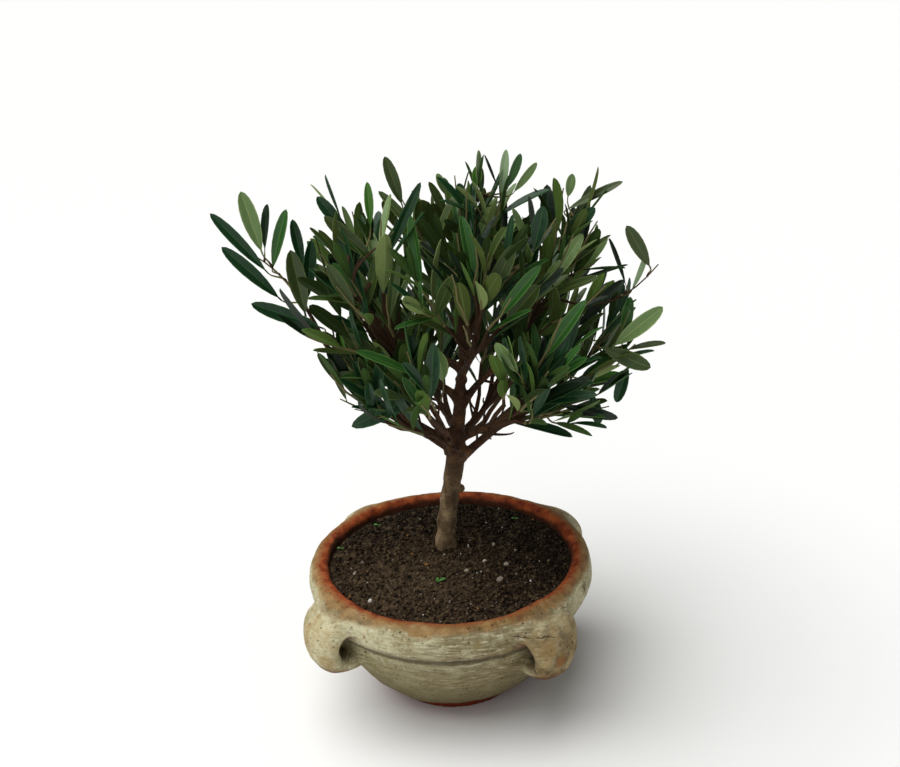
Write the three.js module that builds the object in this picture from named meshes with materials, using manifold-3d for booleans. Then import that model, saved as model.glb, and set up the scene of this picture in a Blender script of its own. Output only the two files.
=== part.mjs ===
// Olive bonsai in a limewashed terracotta bowl with four lugs. Millimetres, +Z up.
// The origin is the centre of the bowl's flat underside. +X and +Y each run through a lug.
import * as THREE from "three";
import { mergeVertices } from "three/addons/utils/BufferGeometryUtils.js";
import Module from "manifold-3d";

const wasm = await Module();
wasm.setup();

const GAP = 0.3; // left between pieces that touch
const SAME_POINT = 1e-4; // corners nearer than this are one

// Bowl: a small foot, a full belly, a groove, and a heavy rim band that swells out over it
const BOWL_HEIGHT = 116;
const BOWL_SIDES = 36;
const OUTSIDE_STEPS = 4;
const INSIDE_STEPS = 3;
const FOOT_RADIUS = 57;
const FOOT_HEIGHT = 7;
const BELLY_RADIUS = 110;
const BELLY_TOP = 79;
const BELLY_PULL = [88.5, 19]; // where the belly's curve is drawn towards
const GROOVE_DEPTH = 1.6;
const BAND_RADIUS = 120;
const BAND_HEIGHT = 100;
const BAND_PULL = [119, 86]; // where the band's swell is drawn towards
const LIP_PULL = [120, 113]; // where the rim's outer shoulder is drawn towards
const LIP_RADIUS = 111;
const LIP_EDGE = [105, 115]; // the rim's inner edge
const MOUTH_RADIUS = 103;
const MOUTH_DEPTH = 5;
const WALL = 11;
const FLOOR = 13;

// Soil: flat round the trunk, sinking a little towards the rim, and lumpy in between
const SOIL_TOP = 111;
const SOIL_FLAT_RADIUS = 45;
const SOIL_EDGE_DROP = 3;
const SOIL_RINGS = 9;
const LUMP_HEIGHT = 0.6; // of each of the waves that cross and make lumps
const LUMP_WAVES = [
  { alongX: 0.131, alongY: 0.05, phase: 1.1 }, // radians for each millimetre
  { alongX: -0.055, alongY: 0.113, phase: 4 },
  { alongX: 0.086, alongY: -0.129, phase: 2.3 },
];
const LUMP_EDGE = 10; // lumps flatten out this near to the rim
const LUMP_CLEAR = [22, 34]; // and between these distances from the trunk's foot

// Lugs: straps that leave the rim band, droop outwards and come back to the belly
const LUG_COUNT = 4;
const LUG_TOP = 104;
const LUG_FOOT = 66;
const LUG_REACH = 130.5;
const LUG_HALF_WIDTH = 11.5;
const LUG_TOP_FLARE = 18;
const LUG_TOP_FADE = 1.3; // how fast the flare narrows, as a power
const LUG_FOOT_FLARE = 6;
const LUG_FOOT_FADE = 4;
const LUG_HALF_THICKNESS = [11, 8.5]; // at the rim band and at the belly
const LUG_SIDES = 10;
const LUG_STEPS = 8;
// A lug's middle line from the band to the belly: shares of the way out to its reach and up to its top
const LUG_LINE = [
  [-0.18, 1],
  [0.64, 0.91],
  [1, 0.62],
  [1, 0.3],
  [0.73, 0.02],
  [0.09, -0.07],
  [-0.49, 0],
];

// Trunk: its foot stands off the bowl's axis, and the tree's own axes are turned from the bowl's
const TREE_FOOT = [-18.8, 11.6];
const TREE_TURN = 53; // degrees
const TRUNK_HEIGHT = 86;
const TRUNK_LEAN = 12; // how far the fork stands to one side of the foot
const TRUNK_BEND = [0.38, 0.62]; // shares of the height and lean where it starts and ends its bend
const TRUNK_RADIUS = 8.1;
const TRUNK_TAPER = 1; // lost from the radius by the fork
const TRUNK_SIDES = 12;
const TRUNK_STEPS = 9;
const FLARE = 2.2; // added to the radius at the soil
const FLARE_FADE = 9;
const FORK_SWELL = 1.2; // added to the radius at the fork
const FORK_FADE = 6;
const KNOT_HEIGHT = 53;
const KNOT_WAY = [0.9, -0.35, 0.25];
const KNOT_RADIUS = 3.4;
const KNOT_TAPER = [1.4, 0.8]; // shares of the radius at its root and its end
const KNOT_LENGTH = 12.5;
const KNOT_SIDES = 8;
const KNOT_STEPS = 2;

// Limbs
const LEADER_RADIUS = 7.2;
const LEADER_STEPS = 8;
const BOUGH_RADIUS = 5;
const BOUGH_SPAN = [-9, 18]; // heights from the fork where boughs leave
const BOUGH_SKIP = 3; // steps of that span from one bough to the next
const LIMB_RADIUS = 3.6;
const LIMB_SPAN = [0.28, 0.62]; // shares of the leader where the upper limbs leave
const LIMB_SKIP = 2;
const LIMB_TIP_RADIUS = 2;
const LIMB_TAPER = 0.8; // below 1 a limb thins faster near its start
const LIMB_RISE = [0.28, 0.28, 0.42]; // shares of the way across that pull a limb up at its start
const LIMB_ARRIVAL = 0.3; // share of the way across that a limb runs straight into its mass
const LIMB_SIDES = 6;
const LIMB_STEPS = 5;

// Crown: rings of foliage seen from the fork. Each row gives the count, where the ring starts round the
// trunk, its rise above the level, the distance to the masses' centres and the size of their space.
// Masses at the front rise more by frontLift. Those on the right lie further out, and are larger, by
// the share reachRight.
const RINGS = [
  { name: "lower", count: 7, start: 2, rise: 30, frontLift: 14, distance: 107, spread: 65, reachRight: 0.15 },
  { name: "upper", count: 5, start: 0, rise: 61, frontLift: 3, distance: 176, spread: 78, reachRight: 0.02 },
];
const TOP = { rise: 83, distance: 184, spread: 74 };
// A long spray at the left, carried by one of the boughs at a share of its length
const SPRAY = { turn: 181, rise: 51, distance: 208, spread: 66, stemRise: 62, bough: 4, share: 0.75 };
const CROWN_FLOOR = 10; // no leaf hangs lower over the fork
const FLOOR_TILT = 0.38; // how the crown's floor rises to the front

// Twigs and leaves
const BARE_LENGTH = 62; // a limb stays bare this far from the fork
const STEM_RADIUS = 1.9;
const STEM_REACH = 0.55; // share of the mass's spread that the stem runs on past the centre
const TWIG_SIDES = 3;
const SHOOT_RADIUS = 1.4;
const SHOOTS = 9;
const SHOOT_SPAN = [0.06, 0.8]; // shares of the stem where the first and the last shoot leave
const SHOOT_LENGTH = 50;
const SHOOT_LENGTH_VARIES = 0.14;
const SHOOT_TIP_SIZE = 0.7; // size of a shoot at the stem's tip
const SHOOT_TRIES = [1, 0.75, 0.5]; // shares of the shoot's length, until it finds room
const SHOOT_LEAN = [68, 34]; // degrees from the stem, near its root and near its tip
const SHOOT_LEAN_VARIES = 7; // degrees
const SHOOT_LIFT = 0.22; // how shoots turn up to the light
const GOLDEN_TURN = 137.5; // degrees round the stem from one shoot to the next
const GOLDEN_TURN_VARIES = 0.25; // radians
const FIRST_LEAVES = 16;
const LAST_LEAVES = 2; // the last pair stands this far before the tip
const LEAF_SPACING = 18;
const LEAF_LENGTH = 60;
const LEAF_WIDTH = 18;
const LEAF_WIDEST = 0.52; // share of the length
const LEAF_THICKNESS = 1.6;
const LEAF_SIZE = 0.98;
const TIP_LEAF_SIZE = 0.88;
const LEAF_SIZE_VARIES = 0.12;
const LEAF_TURN = 0.4; // radians round the shoot
const LEAF_TURN_VARIES = 0.3;
const LEAF_ANGLE = 46; // degrees from the shoot
const TIP_LEAF_ANGLE = 23;
const LEAF_ANGLE_VARIES = 8;
const LEAF_LIFT = 0.12;
const LEAF_BOW = 0.06; // rise of the middle of a leaf, as a share of its length
const LEAF_SINK = 0.9; // how far a leaf's root lies behind the twig's middle
const LEAF_TRIES = [1, 0.75, 0.5, 0.25]; // shares of the leaf's angle, until it finds room
const SMALLEST_LEAF = 0.6; // size of a leaf with hardly any room
const ROOT_SHARE = 0.18; // of a leaf or twig, where it may run into others
const SPACE_CLEAR = 0.2; // from the border between two masses
const SPACE_MARGIN = 4; // a stem starts this far inside
const FIRST_SEED = 11; // of the first mass, and one more for each next one
const JOIN_TOLERANCE = 0.1; // slivers below this are lost where leaves join twigs

// Colours and finishes
const LIMEWASH = { color: "#c0bb9b", roughness: 0.92, metalness: 0 };
const SOIL = { color: "#2e241d", roughness: 1, metalness: 0 };
const BARK = { color: "#67543f", roughness: 0.9, metalness: 0 };
const LEAF = { color: "#2f5230", roughness: 0.55, metalness: 0 };

const radians = THREE.MathUtils.degToRad;
const lerp = THREE.MathUtils.lerp;
const vector = (x, y, z) => new THREE.Vector3(x, y, z);
const UP = vector(0, 0, 1);
const UPRIGHT = 0.95; // a way that rises more than this counts as upright

// Seeded numbers from 0 to 1, the same on every run.
function seededNumbers(seed) {
  let state = seed >>> 0;
  return () => {
    state = (state + 0x6d2b79f5) >>> 0;
    let mixed = Math.imul(state ^ (state >>> 15), state | 1);
    mixed ^= mixed + Math.imul(mixed ^ (mixed >>> 7), mixed | 61);
    return ((mixed ^ (mixed >>> 14)) >>> 0) / 4294967296;
  };
}

// A closed geometry as a solid that can be joined and cut.
function solidOf(geometry) {
  const bare = new THREE.BufferGeometry();
  bare.setAttribute("position", geometry.getAttribute("position"));
  bare.setIndex(geometry.getIndex());
  const merged = mergeVertices(bare, SAME_POINT);
  const triVerts = new Uint32Array(merged.getIndex().array);
  const vertProperties = merged.getAttribute("position").array;
  return new wasm.Manifold(new wasm.Mesh({ numProp: 3, vertProperties, triVerts }));
}

// The largest body of a solid, without scraps that a cut or a join left loose or sealed inside.
function largestBody(solid) {
  const bodies = solid.decompose();
  return bodies.reduce((best, body) => (body.volume() > best.volume() ? body : best));
}

function meshOf(name, solid, finish) {
  const { numProp, vertProperties, triVerts } = solid.getMesh();
  const geometry = new THREE.BufferGeometry();
  const buffer = new THREE.InterleavedBuffer(vertProperties, numProp);
  geometry.setAttribute("position", new THREE.InterleavedBufferAttribute(buffer, 3, 0));
  geometry.setIndex(new THREE.BufferAttribute(triVerts, 1));
  geometry.computeVertexNormals();
  const mesh = new THREE.Mesh(geometry, new THREE.MeshStandardMaterial(finish));
  mesh.name = name;
  return mesh;
}

// A bar along a curve. section gives its two half sizes, across the curve, at a share of its length.
function bar(curve, sides, steps, section) {
  const frames = curve.computeFrenetFrames(steps);
  const geometry = new THREE.CylinderGeometry(1, 1, 1, sides, steps);
  const place = geometry.getAttribute("position");
  for (let i = 0; i < place.count; i += 1) {
    const step = Math.round((place.getY(i) + 0.5) * steps);
    const [wide, thick] = section(step / steps);
    const point = curve.getPoint(step / steps);
    point.addScaledVector(frames.normals[step], place.getX(i) * wide);
    point.addScaledVector(frames.binormals[step], -place.getZ(i) * thick);
    place.setXYZ(i, point.x, point.y, point.z);
  }
  return geometry;
}

function roundBar(curve, sides, steps, radius) {
  return bar(curve, sides, steps, (share) => [radius(share), radius(share)]);
}

function turned(outline) {
  return new THREE.LatheGeometry(outline, BOWL_SIDES).rotateX(Math.PI / 2);
}

// Bowl, soil and lugs

function bowlOutside(grow) {
  const path = new THREE.Path();
  path.moveTo(FOOT_RADIUS + grow, 0);
  path.lineTo(FOOT_RADIUS + grow, FOOT_HEIGHT);
  path.quadraticCurveTo(BELLY_PULL[0] + grow, BELLY_PULL[1], BELLY_RADIUS + grow, BELLY_TOP);
  path.lineTo(BELLY_RADIUS - GROOVE_DEPTH + grow, BELLY_TOP + GROOVE_DEPTH);
  path.quadraticCurveTo(BAND_PULL[0] + grow, BAND_PULL[1], BAND_RADIUS + grow, BAND_HEIGHT);
  path.quadraticCurveTo(LIP_PULL[0] + grow, LIP_PULL[1], LIP_RADIUS + grow, BOWL_HEIGHT);
  return path.getPoints(OUTSIDE_STEPS);
}

function bowlInside(grow) {
  const path = new THREE.Path();
  path.moveTo(MOUTH_RADIUS + grow, BOWL_HEIGHT - MOUTH_DEPTH);
  path.lineTo(BELLY_RADIUS - WALL + grow, BELLY_TOP);
  const pull = [BELLY_PULL[0] - WALL + grow, BELLY_PULL[1] + WALL];
  path.quadraticCurveTo(...pull, FOOT_RADIUS - WALL + grow, FLOOR - grow);
  return path.getPoints(INSIDE_STEPS);
}

function bowl() {
  const start = new THREE.Vector2(0, 0);
  const end = new THREE.Vector2(0, FLOOR);
  const lip = new THREE.Vector2(...LIP_EDGE);
  return solidOf(turned([start, ...bowlOutside(0), lip, ...bowlInside(0), end]));
}

// How far a point of the soil's top stands over its plain shape.
function soilLump(x, y, edgeRadius) {
  const fromTrunk = Math.hypot(x - TREE_FOOT[0], y - TREE_FOOT[1]);
  const fromEdge = (edgeRadius - Math.hypot(x, y)) / LUMP_EDGE;
  const shown = THREE.MathUtils.smoothstep(fromTrunk, ...LUMP_CLEAR) * THREE.MathUtils.clamp(fromEdge, 0, 1);
  const waves = LUMP_WAVES.map(({ alongX, alongY, phase }) => Math.sin(alongX * x + alongY * y + phase));
  return LUMP_HEIGHT * shown * waves.reduce((sum, wave) => sum + wave);
}

function soil() {
  const inside = bowlInside(-GAP).reverse();
  const edgeHeight = SOIL_TOP - SOIL_EDGE_DROP;
  const wall = inside.filter((point) => point.y < edgeHeight);
  const mouth = inside[inside.length - 1];
  const below = wall[wall.length - 1];
  const share = (edgeHeight - below.y) / (mouth.y - below.y);
  const edgeRadius = lerp(below.x, mouth.x, share);
  const rings = [];
  for (let i = 0; i <= SOIL_RINGS; i += 1) {
    const radius = edgeRadius * (1 - i / SOIL_RINGS);
    const drop = THREE.MathUtils.mapLinear(radius, SOIL_FLAT_RADIUS, edgeRadius, 0, SOIL_EDGE_DROP);
    rings.push(new THREE.Vector2(radius, SOIL_TOP - Math.max(drop, 0)));
  }
  const start = new THREE.Vector2(0, FLOOR + GAP);
  const geometry = turned([start, ...wall, ...rings]);
  const place = geometry.getAttribute("position");
  for (let i = 0; i < place.count; i += 1) {
    const [x, y, z] = [place.getX(i), place.getY(i), place.getZ(i)];
    if (z > below.y + GAP) place.setZ(i, z + soilLump(x, y, edgeRadius));
  }
  return solidOf(geometry);
}

function lug() {
  const at = ([out, up]) => vector(lerp(BELLY_RADIUS, LUG_REACH, out), 0, lerp(LUG_FOOT, LUG_TOP, up));
  const line = new THREE.CatmullRomCurve3(LUG_LINE.map(at));
  const section = (share) => {
    const flare = LUG_TOP_FLARE * (1 - share) ** LUG_TOP_FADE + LUG_FOOT_FLARE * share ** LUG_FOOT_FADE;
    return [LUG_HALF_WIDTH + flare, lerp(...LUG_HALF_THICKNESS, share)];
  };
  const strap = solidOf(bar(line, LUG_SIDES, LUG_STEPS, section));
  const above = BOWL_HEIGHT + LUG_HALF_THICKNESS[0];
  const mouth = [new THREE.Vector2(LIP_RADIUS + GAP, above), new THREE.Vector2(0, above)];
  const filled = solidOf(turned([new THREE.Vector2(0, 0), ...bowlOutside(GAP), ...mouth]));
  return largestBody(strap.subtract(filled));
}

// Trunk and limbs, in the tree's own axes: X to its right, Y behind it, Z up from the soil

function trunkRadius(share) {
  const flare = FLARE * Math.exp(-share * FLARE_FADE);
  const swell = FORK_SWELL * share ** FORK_FADE;
  return TRUNK_RADIUS - TRUNK_TAPER * share + flare + swell;
}

const trunkCurve = new THREE.CubicBezierCurve3(
  vector(0, 0, 0),
  vector(0, 0, TRUNK_HEIGHT * TRUNK_BEND[0]),
  vector(TRUNK_LEAN * TRUNK_BEND[1], 0, TRUNK_HEIGHT * TRUNK_BEND[1]),
  vector(TRUNK_LEAN, 0, TRUNK_HEIGHT),
);

function trunkBar(grow) {
  return solidOf(roundBar(trunkCurve, TRUNK_SIDES, TRUNK_STEPS, (share) => trunkRadius(share) + grow));
}

function knot() {
  const root = trunkCurve.getPoint(KNOT_HEIGHT / TRUNK_HEIGHT);
  const line = new THREE.LineCurve3(root, root.clone().addScaledVector(vector(...KNOT_WAY), KNOT_LENGTH));
  const radius = (share) => KNOT_RADIUS * lerp(...KNOT_TAPER, share ** 2);
  return solidOf(roundBar(line, KNOT_SIDES, KNOT_STEPS, radius));
}

const FORK = vector(TRUNK_LEAN, 0, TRUNK_HEIGHT);

// The way from the fork at a turn round the trunk and a rise above the level, both in degrees.
function wayFromFork(turn, rise) {
  const level = Math.cos(radians(rise));
  const across = vector(Math.cos(radians(turn)), Math.sin(radians(turn)), 0);
  return across.multiplyScalar(level).addScaledVector(UP, Math.sin(radians(rise)));
}

function massAt(name, turn, rise, distance, spread) {
  const heading = wayFromFork(turn, rise);
  const centre = FORK.clone().addScaledVector(heading, distance);
  return { name, heading, centre, spread };
}

function crownMasses() {
  const masses = [massAt("foliage_top", 0, TOP.rise, TOP.distance, TOP.spread)];
  for (const ring of RINGS) {
    for (let i = 0; i < ring.count; i += 1) {
      const turn = ring.start + (360 * i) / ring.count;
      const rise = ring.rise + ring.frontLift * Math.max(0, -Math.sin(radians(turn)));
      const size = 1 + ring.reachRight * Math.cos(radians(turn));
      const name = `foliage_${ring.name}_${i + 1}`;
      masses.push(massAt(name, turn, rise, ring.distance * size, ring.spread * size));
    }
  }
  const spray = massAt("foliage_spray", SPRAY.turn, SPRAY.rise, SPRAY.distance, SPRAY.spread);
  spray.heading = wayFromFork(SPRAY.turn, SPRAY.stemRise);
  masses.push(spray);
  return masses;
}

const masses = crownMasses();
masses.forEach((mass, i) => {
  mass.seed = FIRST_SEED + i;
});

// How far behind its centre a mass's stem can start in its own space: the ball round the centre, as far as
// that is nearer to it than to the other centres.
function stemBack(mass) {
  let back = Math.min(mass.spread - SPACE_MARGIN, mass.centre.distanceTo(FORK) - BARE_LENGTH);
  for (const other of masses) {
    const apart = other.centre.clone().sub(mass.centre);
    const slope = -apart.dot(mass.heading);
    if (slope > 0) back = Math.min(back, apart.lengthSq() / 2 / slope - SPACE_MARGIN);
  }
  return back;
}

for (const mass of masses) mass.root = mass.centre.clone().addScaledVector(mass.heading, -stemBack(mass));

// A limb leaves its carrier, bends into its mass's own heading, and ends a gap short of the mass.
function limbCurve(start, mass) {
  const end = mass.root.clone().addScaledVector(mass.heading, -GAP);
  const across = end.clone().sub(start);
  const leave = start.clone().add(across.clone().multiply(vector(...LIMB_RISE)));
  const arrive = end.clone().addScaledVector(mass.heading, -across.length() * LIMB_ARRIVAL);
  return new THREE.CubicBezierCurve3(start, leave, arrive, end);
}

const limbs = [];

function addLimb(name, start, massName, radius, steps = LIMB_STEPS) {
  const mass = masses.find((candidate) => candidate.name === massName);
  const curve = limbCurve(start, mass);
  const thickness = (grow) => (along) => lerp(radius, LIMB_TIP_RADIUS, along ** LIMB_TAPER) + grow;
  const solid = solidOf(roundBar(curve, LIMB_SIDES, steps, thickness(0)));
  const grown = solidOf(roundBar(curve, LIMB_SIDES, steps, thickness(GAP)));
  limbs.push({ name, curve, solid, grown });
  return curve;
}

function growLimbs() {
  limbs.push({ name: "trunk", solid: largestBody(trunkBar(0).add(knot())), grown: trunkBar(GAP) });
  const leaderStart = FORK.clone().addScaledVector(UP, GAP);
  const leader = addLimb("leader", leaderStart, "foliage_top", LEADER_RADIUS, LEADER_STEPS);
  const [lower, upper] = RINGS;
  const boughs = [];
  for (let i = 0; i < lower.count; i += 1) {
    const height = lerp(...BOUGH_SPAN, ((i * BOUGH_SKIP) % lower.count) / (lower.count - 1));
    const carrier = height < 0 ? trunkCurve : leader;
    const share = height < 0 ? 1 + height / TRUNK_HEIGHT : height / leader.getLength();
    boughs.push(addLimb(`bough_${i + 1}`, carrier.getPoint(share), `foliage_lower_${i + 1}`, BOUGH_RADIUS));
  }
  for (let i = 0; i < upper.count; i += 1) {
    const share = lerp(...LIMB_SPAN, ((i * LIMB_SKIP) % upper.count) / (upper.count - 1));
    addLimb(`limb_upper_${i + 1}`, leader.getPoint(share), `foliage_upper_${i + 1}`, LIMB_RADIUS);
  }
  addLimb("limb_spray", boughs[SPRAY.bough - 1].getPoint(SPRAY.share), "foliage_spray", LIMB_RADIUS);
}

growLimbs();

// Each limb is cut clear of the ones before it.
for (let i = 1; i < limbs.length; i += 1) {
  const before = wasm.Manifold.union(limbs.slice(0, i).map((limb) => limb.grown));
  limbs[i].solid = largestBody(limbs[i].solid.subtract(before));
}
const grownLimbs = wasm.Manifold.union(limbs.map((limb) => limb.grown));

// Foliage: shoots that branch from a stem, with pairs of leaves along them

// A twig that tapers to a point.
function twigGeometry(root, tip, radius) {
  const length = root.distanceTo(tip);
  const way = tip.clone().sub(root).normalize();
  const geometry = new THREE.ConeGeometry(radius, length, TWIG_SIDES).translate(0, length / 2, 0);
  geometry.applyQuaternion(new THREE.Quaternion().setFromUnitVectors(vector(0, 1, 0), way));
  return geometry.translate(root.x, root.y, root.z);
}

// A leaf from its root: a thin eight-sided blade, widest in the middle, whose upper face is towards face.
function leafGeometry(root, way, face, length) {
  const across = way.clone().cross(face).normalize();
  const upper = across.clone().cross(way).normalize();
  const geometry = new THREE.OctahedronGeometry(1);
  const place = geometry.getAttribute("position");
  const along = { "-1": -LEAF_SINK, 0: length * LEAF_WIDEST, 1: length };
  const width = (LEAF_WIDTH * length) / LEAF_LENGTH / 2;
  for (let i = 0; i < place.count; i += 1) {
    const point = root.clone().addScaledVector(way, along[Math.round(place.getX(i))]);
    point.addScaledVector(across, -place.getY(i) * width);
    const bow = place.getX(i) === 0 ? LEAF_BOW * length : 0;
    point.addScaledVector(upper, (place.getZ(i) * LEAF_THICKNESS) / 2 + bow);
    place.setXYZ(i, point.x, point.y, point.z);
  }
  return geometry;
}

// True where every corner of a geometry lies in the mass's own space: over the crown's floor, inside the
// mass's ball, and nearer to its own centre than to the centre of any other mass.
function keepsToSpace(geometry, mass) {
  const place = geometry.getAttribute("position");
  for (let i = 0; i < place.count; i += 1) {
    const point = vector().fromBufferAttribute(place, i);
    const own = point.distanceToSquared(mass.centre);
    if (own > mass.spread ** 2) return false;
    if (point.z < FORK.z + CROWN_FLOOR - FLOOR_TILT * Math.min(point.y, 0)) return false;
    for (const other of masses) {
      if (other === mass) continue;
      const apart = other.centre.distanceTo(mass.centre);
      if (point.distanceToSquared(other.centre) - own < 2 * apart * SPACE_CLEAR) return false;
    }
  }
  return true;
}

// Two directions across a way, the first as level as it can be.
function sidesOf(way) {
  const level = way.clone().cross(Math.abs(way.z) > UPRIGHT ? vector(1, 0, 0) : UP).normalize();
  return [level, level.clone().cross(way).normalize()];
}

// A direction that leans from a way by an angle, at a turn round it.
function leaning(way, lean, turn) {
  const [level, steep] = sidesOf(way);
  const side = level.multiplyScalar(Math.cos(turn)).addScaledVector(steep, Math.sin(turn));
  return way.clone().multiplyScalar(Math.cos(lean)).addScaledVector(side, Math.sin(lean));
}

function foliage(mass) {
  const random = seededNumbers(mass.seed);
  const around = (middle, spread) => middle + (random() * 2 - 1) * spread;
  const pieces = [];

  // Adds a twig or leaf if it keeps to the space, misses the limbs, and its free part misses the others.
  function add(geometry, free) {
    if (!keepsToSpace(geometry, mass)) return false;
    const solid = solidOf(geometry);
    const freeSolid = solidOf(free);
    const blocked = [grownLimbs, ...pieces].some((piece) => !piece.intersect(freeSolid).isEmpty());
    if (blocked || !solid.intersect(grownLimbs).isEmpty()) return false;
    pieces.push(solid);
    return true;
  }

  function addTwig(root, tip, radius) {
    const free = root.clone().lerp(tip, ROOT_SHARE);
    return add(twigGeometry(root, tip, radius), twigGeometry(free, tip, radius));
  }

  // A leaf that would leave the space lies closer to its twig and is smaller.
  function addLeaf(root, way, lean, turn, size) {
    for (const share of LEAF_TRIES) {
      const heading = leaning(way, lean * share, turn).addScaledVector(UP, LEAF_LIFT).normalize();
      const length = LEAF_LENGTH * size * lerp(SMALLEST_LEAF, 1, share);
      const free = root.clone().addScaledVector(heading, length * ROOT_SHARE);
      const freeLeaf = leafGeometry(free, heading, way, length * (1 - ROOT_SHARE));
      if (add(leafGeometry(root, heading, way, length), freeLeaf)) return;
    }
  }

  function addLeaves(root, tip, from) {
    const length = root.distanceTo(tip);
    const way = tip.clone().sub(root).normalize();
    const pairs = Math.floor((length - from) / LEAF_SPACING) + 1;
    for (let i = 0; i < pairs; i += 1) {
      const along = Math.min(from + i * LEAF_SPACING, length - LAST_LEAVES);
      const place = root.clone().addScaledVector(way, along);
      const atTip = i === pairs - 1;
      const turn = (i * Math.PI) / 2 + around(LEAF_TURN, LEAF_TURN_VARIES);
      for (const half of [0, Math.PI]) {
        const lean = radians(around(atTip ? TIP_LEAF_ANGLE : LEAF_ANGLE, LEAF_ANGLE_VARIES));
        const size = around(atTip ? TIP_LEAF_SIZE : LEAF_SIZE, LEAF_SIZE_VARIES);
        addLeaf(place, way, lean, turn + half, size);
      }
    }
  }

  const tip = mass.centre.clone().addScaledVector(mass.heading, mass.spread * STEM_REACH);
  const stemLength = mass.root.distanceTo(tip);
  if (!addTwig(mass.root, tip, STEM_RADIUS)) throw new Error(`${mass.name} has no stem`);
  addLeaves(mass.root, tip, stemLength - LEAF_SPACING);
  const phase = random() * Math.PI * 2;
  for (let i = 0; i < SHOOTS; i += 1) {
    const share = lerp(...SHOOT_SPAN, i / (SHOOTS - 1));
    const start = mass.root.clone().lerp(tip, share);
    const turn = phase + radians(i * GOLDEN_TURN) + around(0, GOLDEN_TURN_VARIES);
    const lean = radians(around(lerp(...SHOOT_LEAN, share), SHOOT_LEAN_VARIES));
    const way = leaning(mass.heading, lean, turn).addScaledVector(UP, SHOOT_LIFT).normalize();
    const length = SHOOT_LENGTH * around(1, SHOOT_LENGTH_VARIES) * lerp(1, SHOOT_TIP_SIZE, share);
    for (const part of SHOOT_TRIES) {
      const end = start.clone().addScaledVector(way, length * part);
      if (addTwig(start, end, SHOOT_RADIUS)) {
        addLeaves(start, end, FIRST_LEAVES);
        break;
      }
    }
  }
  return largestBody(wasm.Manifold.union(pieces).simplify(JOIN_TOLERANCE));
}

// The whole object

const group = new THREE.Group();
group.add(meshOf("bowl", bowl(), LIMEWASH));
group.add(meshOf("soil", soil(), SOIL));
for (let i = 0; i < LUG_COUNT; i += 1) {
  const mesh = meshOf(`lug_${i + 1}`, lug(), LIMEWASH);
  mesh.rotation.z = (i * Math.PI * 2) / LUG_COUNT;
  group.add(mesh);
}

const tree = new THREE.Group();
tree.position.set(...TREE_FOOT, SOIL_TOP + GAP);
tree.rotation.z = radians(TREE_TURN);
for (const limb of limbs) tree.add(meshOf(limb.name, limb.solid, BARK));
for (const mass of masses) tree.add(meshOf(mass.name, foliage(mass), LEAF));
group.add(tree);

export default group;
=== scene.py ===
import math
from types import SimpleNamespace

import bpy
import numpy as np
from mathutils import Matrix, Vector, noise


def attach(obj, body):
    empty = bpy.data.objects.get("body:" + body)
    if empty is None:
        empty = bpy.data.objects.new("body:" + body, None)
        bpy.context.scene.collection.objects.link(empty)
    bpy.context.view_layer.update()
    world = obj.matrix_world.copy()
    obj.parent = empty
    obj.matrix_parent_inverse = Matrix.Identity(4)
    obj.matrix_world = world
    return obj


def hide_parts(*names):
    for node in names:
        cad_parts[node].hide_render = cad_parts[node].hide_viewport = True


# An olive bonsai in a limewashed terracotta bowl with four lugs.
# Sizes are in millimetres and angles in degrees, unless a comment says otherwise.

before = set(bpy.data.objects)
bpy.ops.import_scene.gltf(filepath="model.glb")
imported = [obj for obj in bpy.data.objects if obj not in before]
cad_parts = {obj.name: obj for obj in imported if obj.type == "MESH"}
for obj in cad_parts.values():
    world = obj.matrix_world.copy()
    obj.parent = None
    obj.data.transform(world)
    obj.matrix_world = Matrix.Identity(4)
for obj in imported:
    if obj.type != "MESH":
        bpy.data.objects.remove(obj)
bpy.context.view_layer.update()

MM = 0.001
GAP = 0.3
UP = np.array([0.0, 0.0, 1.0])
RIGHT = np.array([1.0, 0.0, 0.0])

# Bowl, as in the solids
BOWL_HEIGHT = 116
FOOT_RADIUS = 57
FOOT_HEIGHT = 7
BELLY_RADIUS = 110
BELLY_TOP = 79
BELLY_PULL = (88.5, 19)
GROOVE_DEPTH = 1.6
BAND_RADIUS = 120
BAND_HEIGHT = 100
BAND_PULL = (119, 86)
LIP_PULL = (120, 113)
LIP_RADIUS = 111
LIP_EDGE = (105, 115)
MOUTH_RADIUS = 103
MOUTH_DEPTH = 5
WALL = 11
FLOOR = 13
LUG_TOP = 104
LUG_FOOT = 66
LUG_REACH = 130.5
LUG_HALF_WIDTH = 11.5
LUG_TOP_FLARE = 18
LUG_TOP_FADE = 1.3
LUG_FOOT_FLARE = 6
LUG_FOOT_FADE = 4
LUG_HALF_THICKNESS = (11, 8.5)
LUG_LINE = ((-0.18, 1), (0.64, 0.91), (1, 0.62), (1, 0.3), (0.73, 0.02), (0.09, -0.07), (-0.49, 0))

# Bowl, as the hand left it
CLAY_STEP = 1.5  # cells that the clay is shaped in
CLAY_BLOCK = ((-146, -146, -6), (146, 146, 126))
PROFILE_STEP = 0.5
PROFILE_BLOCK = ((0, -12), (160, 140))
LUG_BLOCK = (96, 46, 38)  # a lug is shaped beyond this radius, within this half width and over this height
FAR = 60.0  # stands for the distance from a lug outside its block
MOUTH_ABOVE = 20  # the hollow runs on above the rim
MOUTH_FLARE = 5
LUG_FILLET = 6.5
RIM_ROUND = 3
OUT_OF_ROUND = ((2, 0.8, 0.6), (3, 0.6, 2))  # swellings round the bowl, their height and start in radians
HAND_DENTS = ((0.7, 34), (0.45, 12), (0.22, 4.5))  # depth and size
RING_DEPTH = 0.22
RING_RUN = 1.3  # height of one radian of the throwing rings
RING_WAVER = (2, 40)  # how far the rings waver, in radians, and over what length
CHIP_DEPTH = 3.3
CHIP_SIZE = 6
CHIP_START = 0.42
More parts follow.
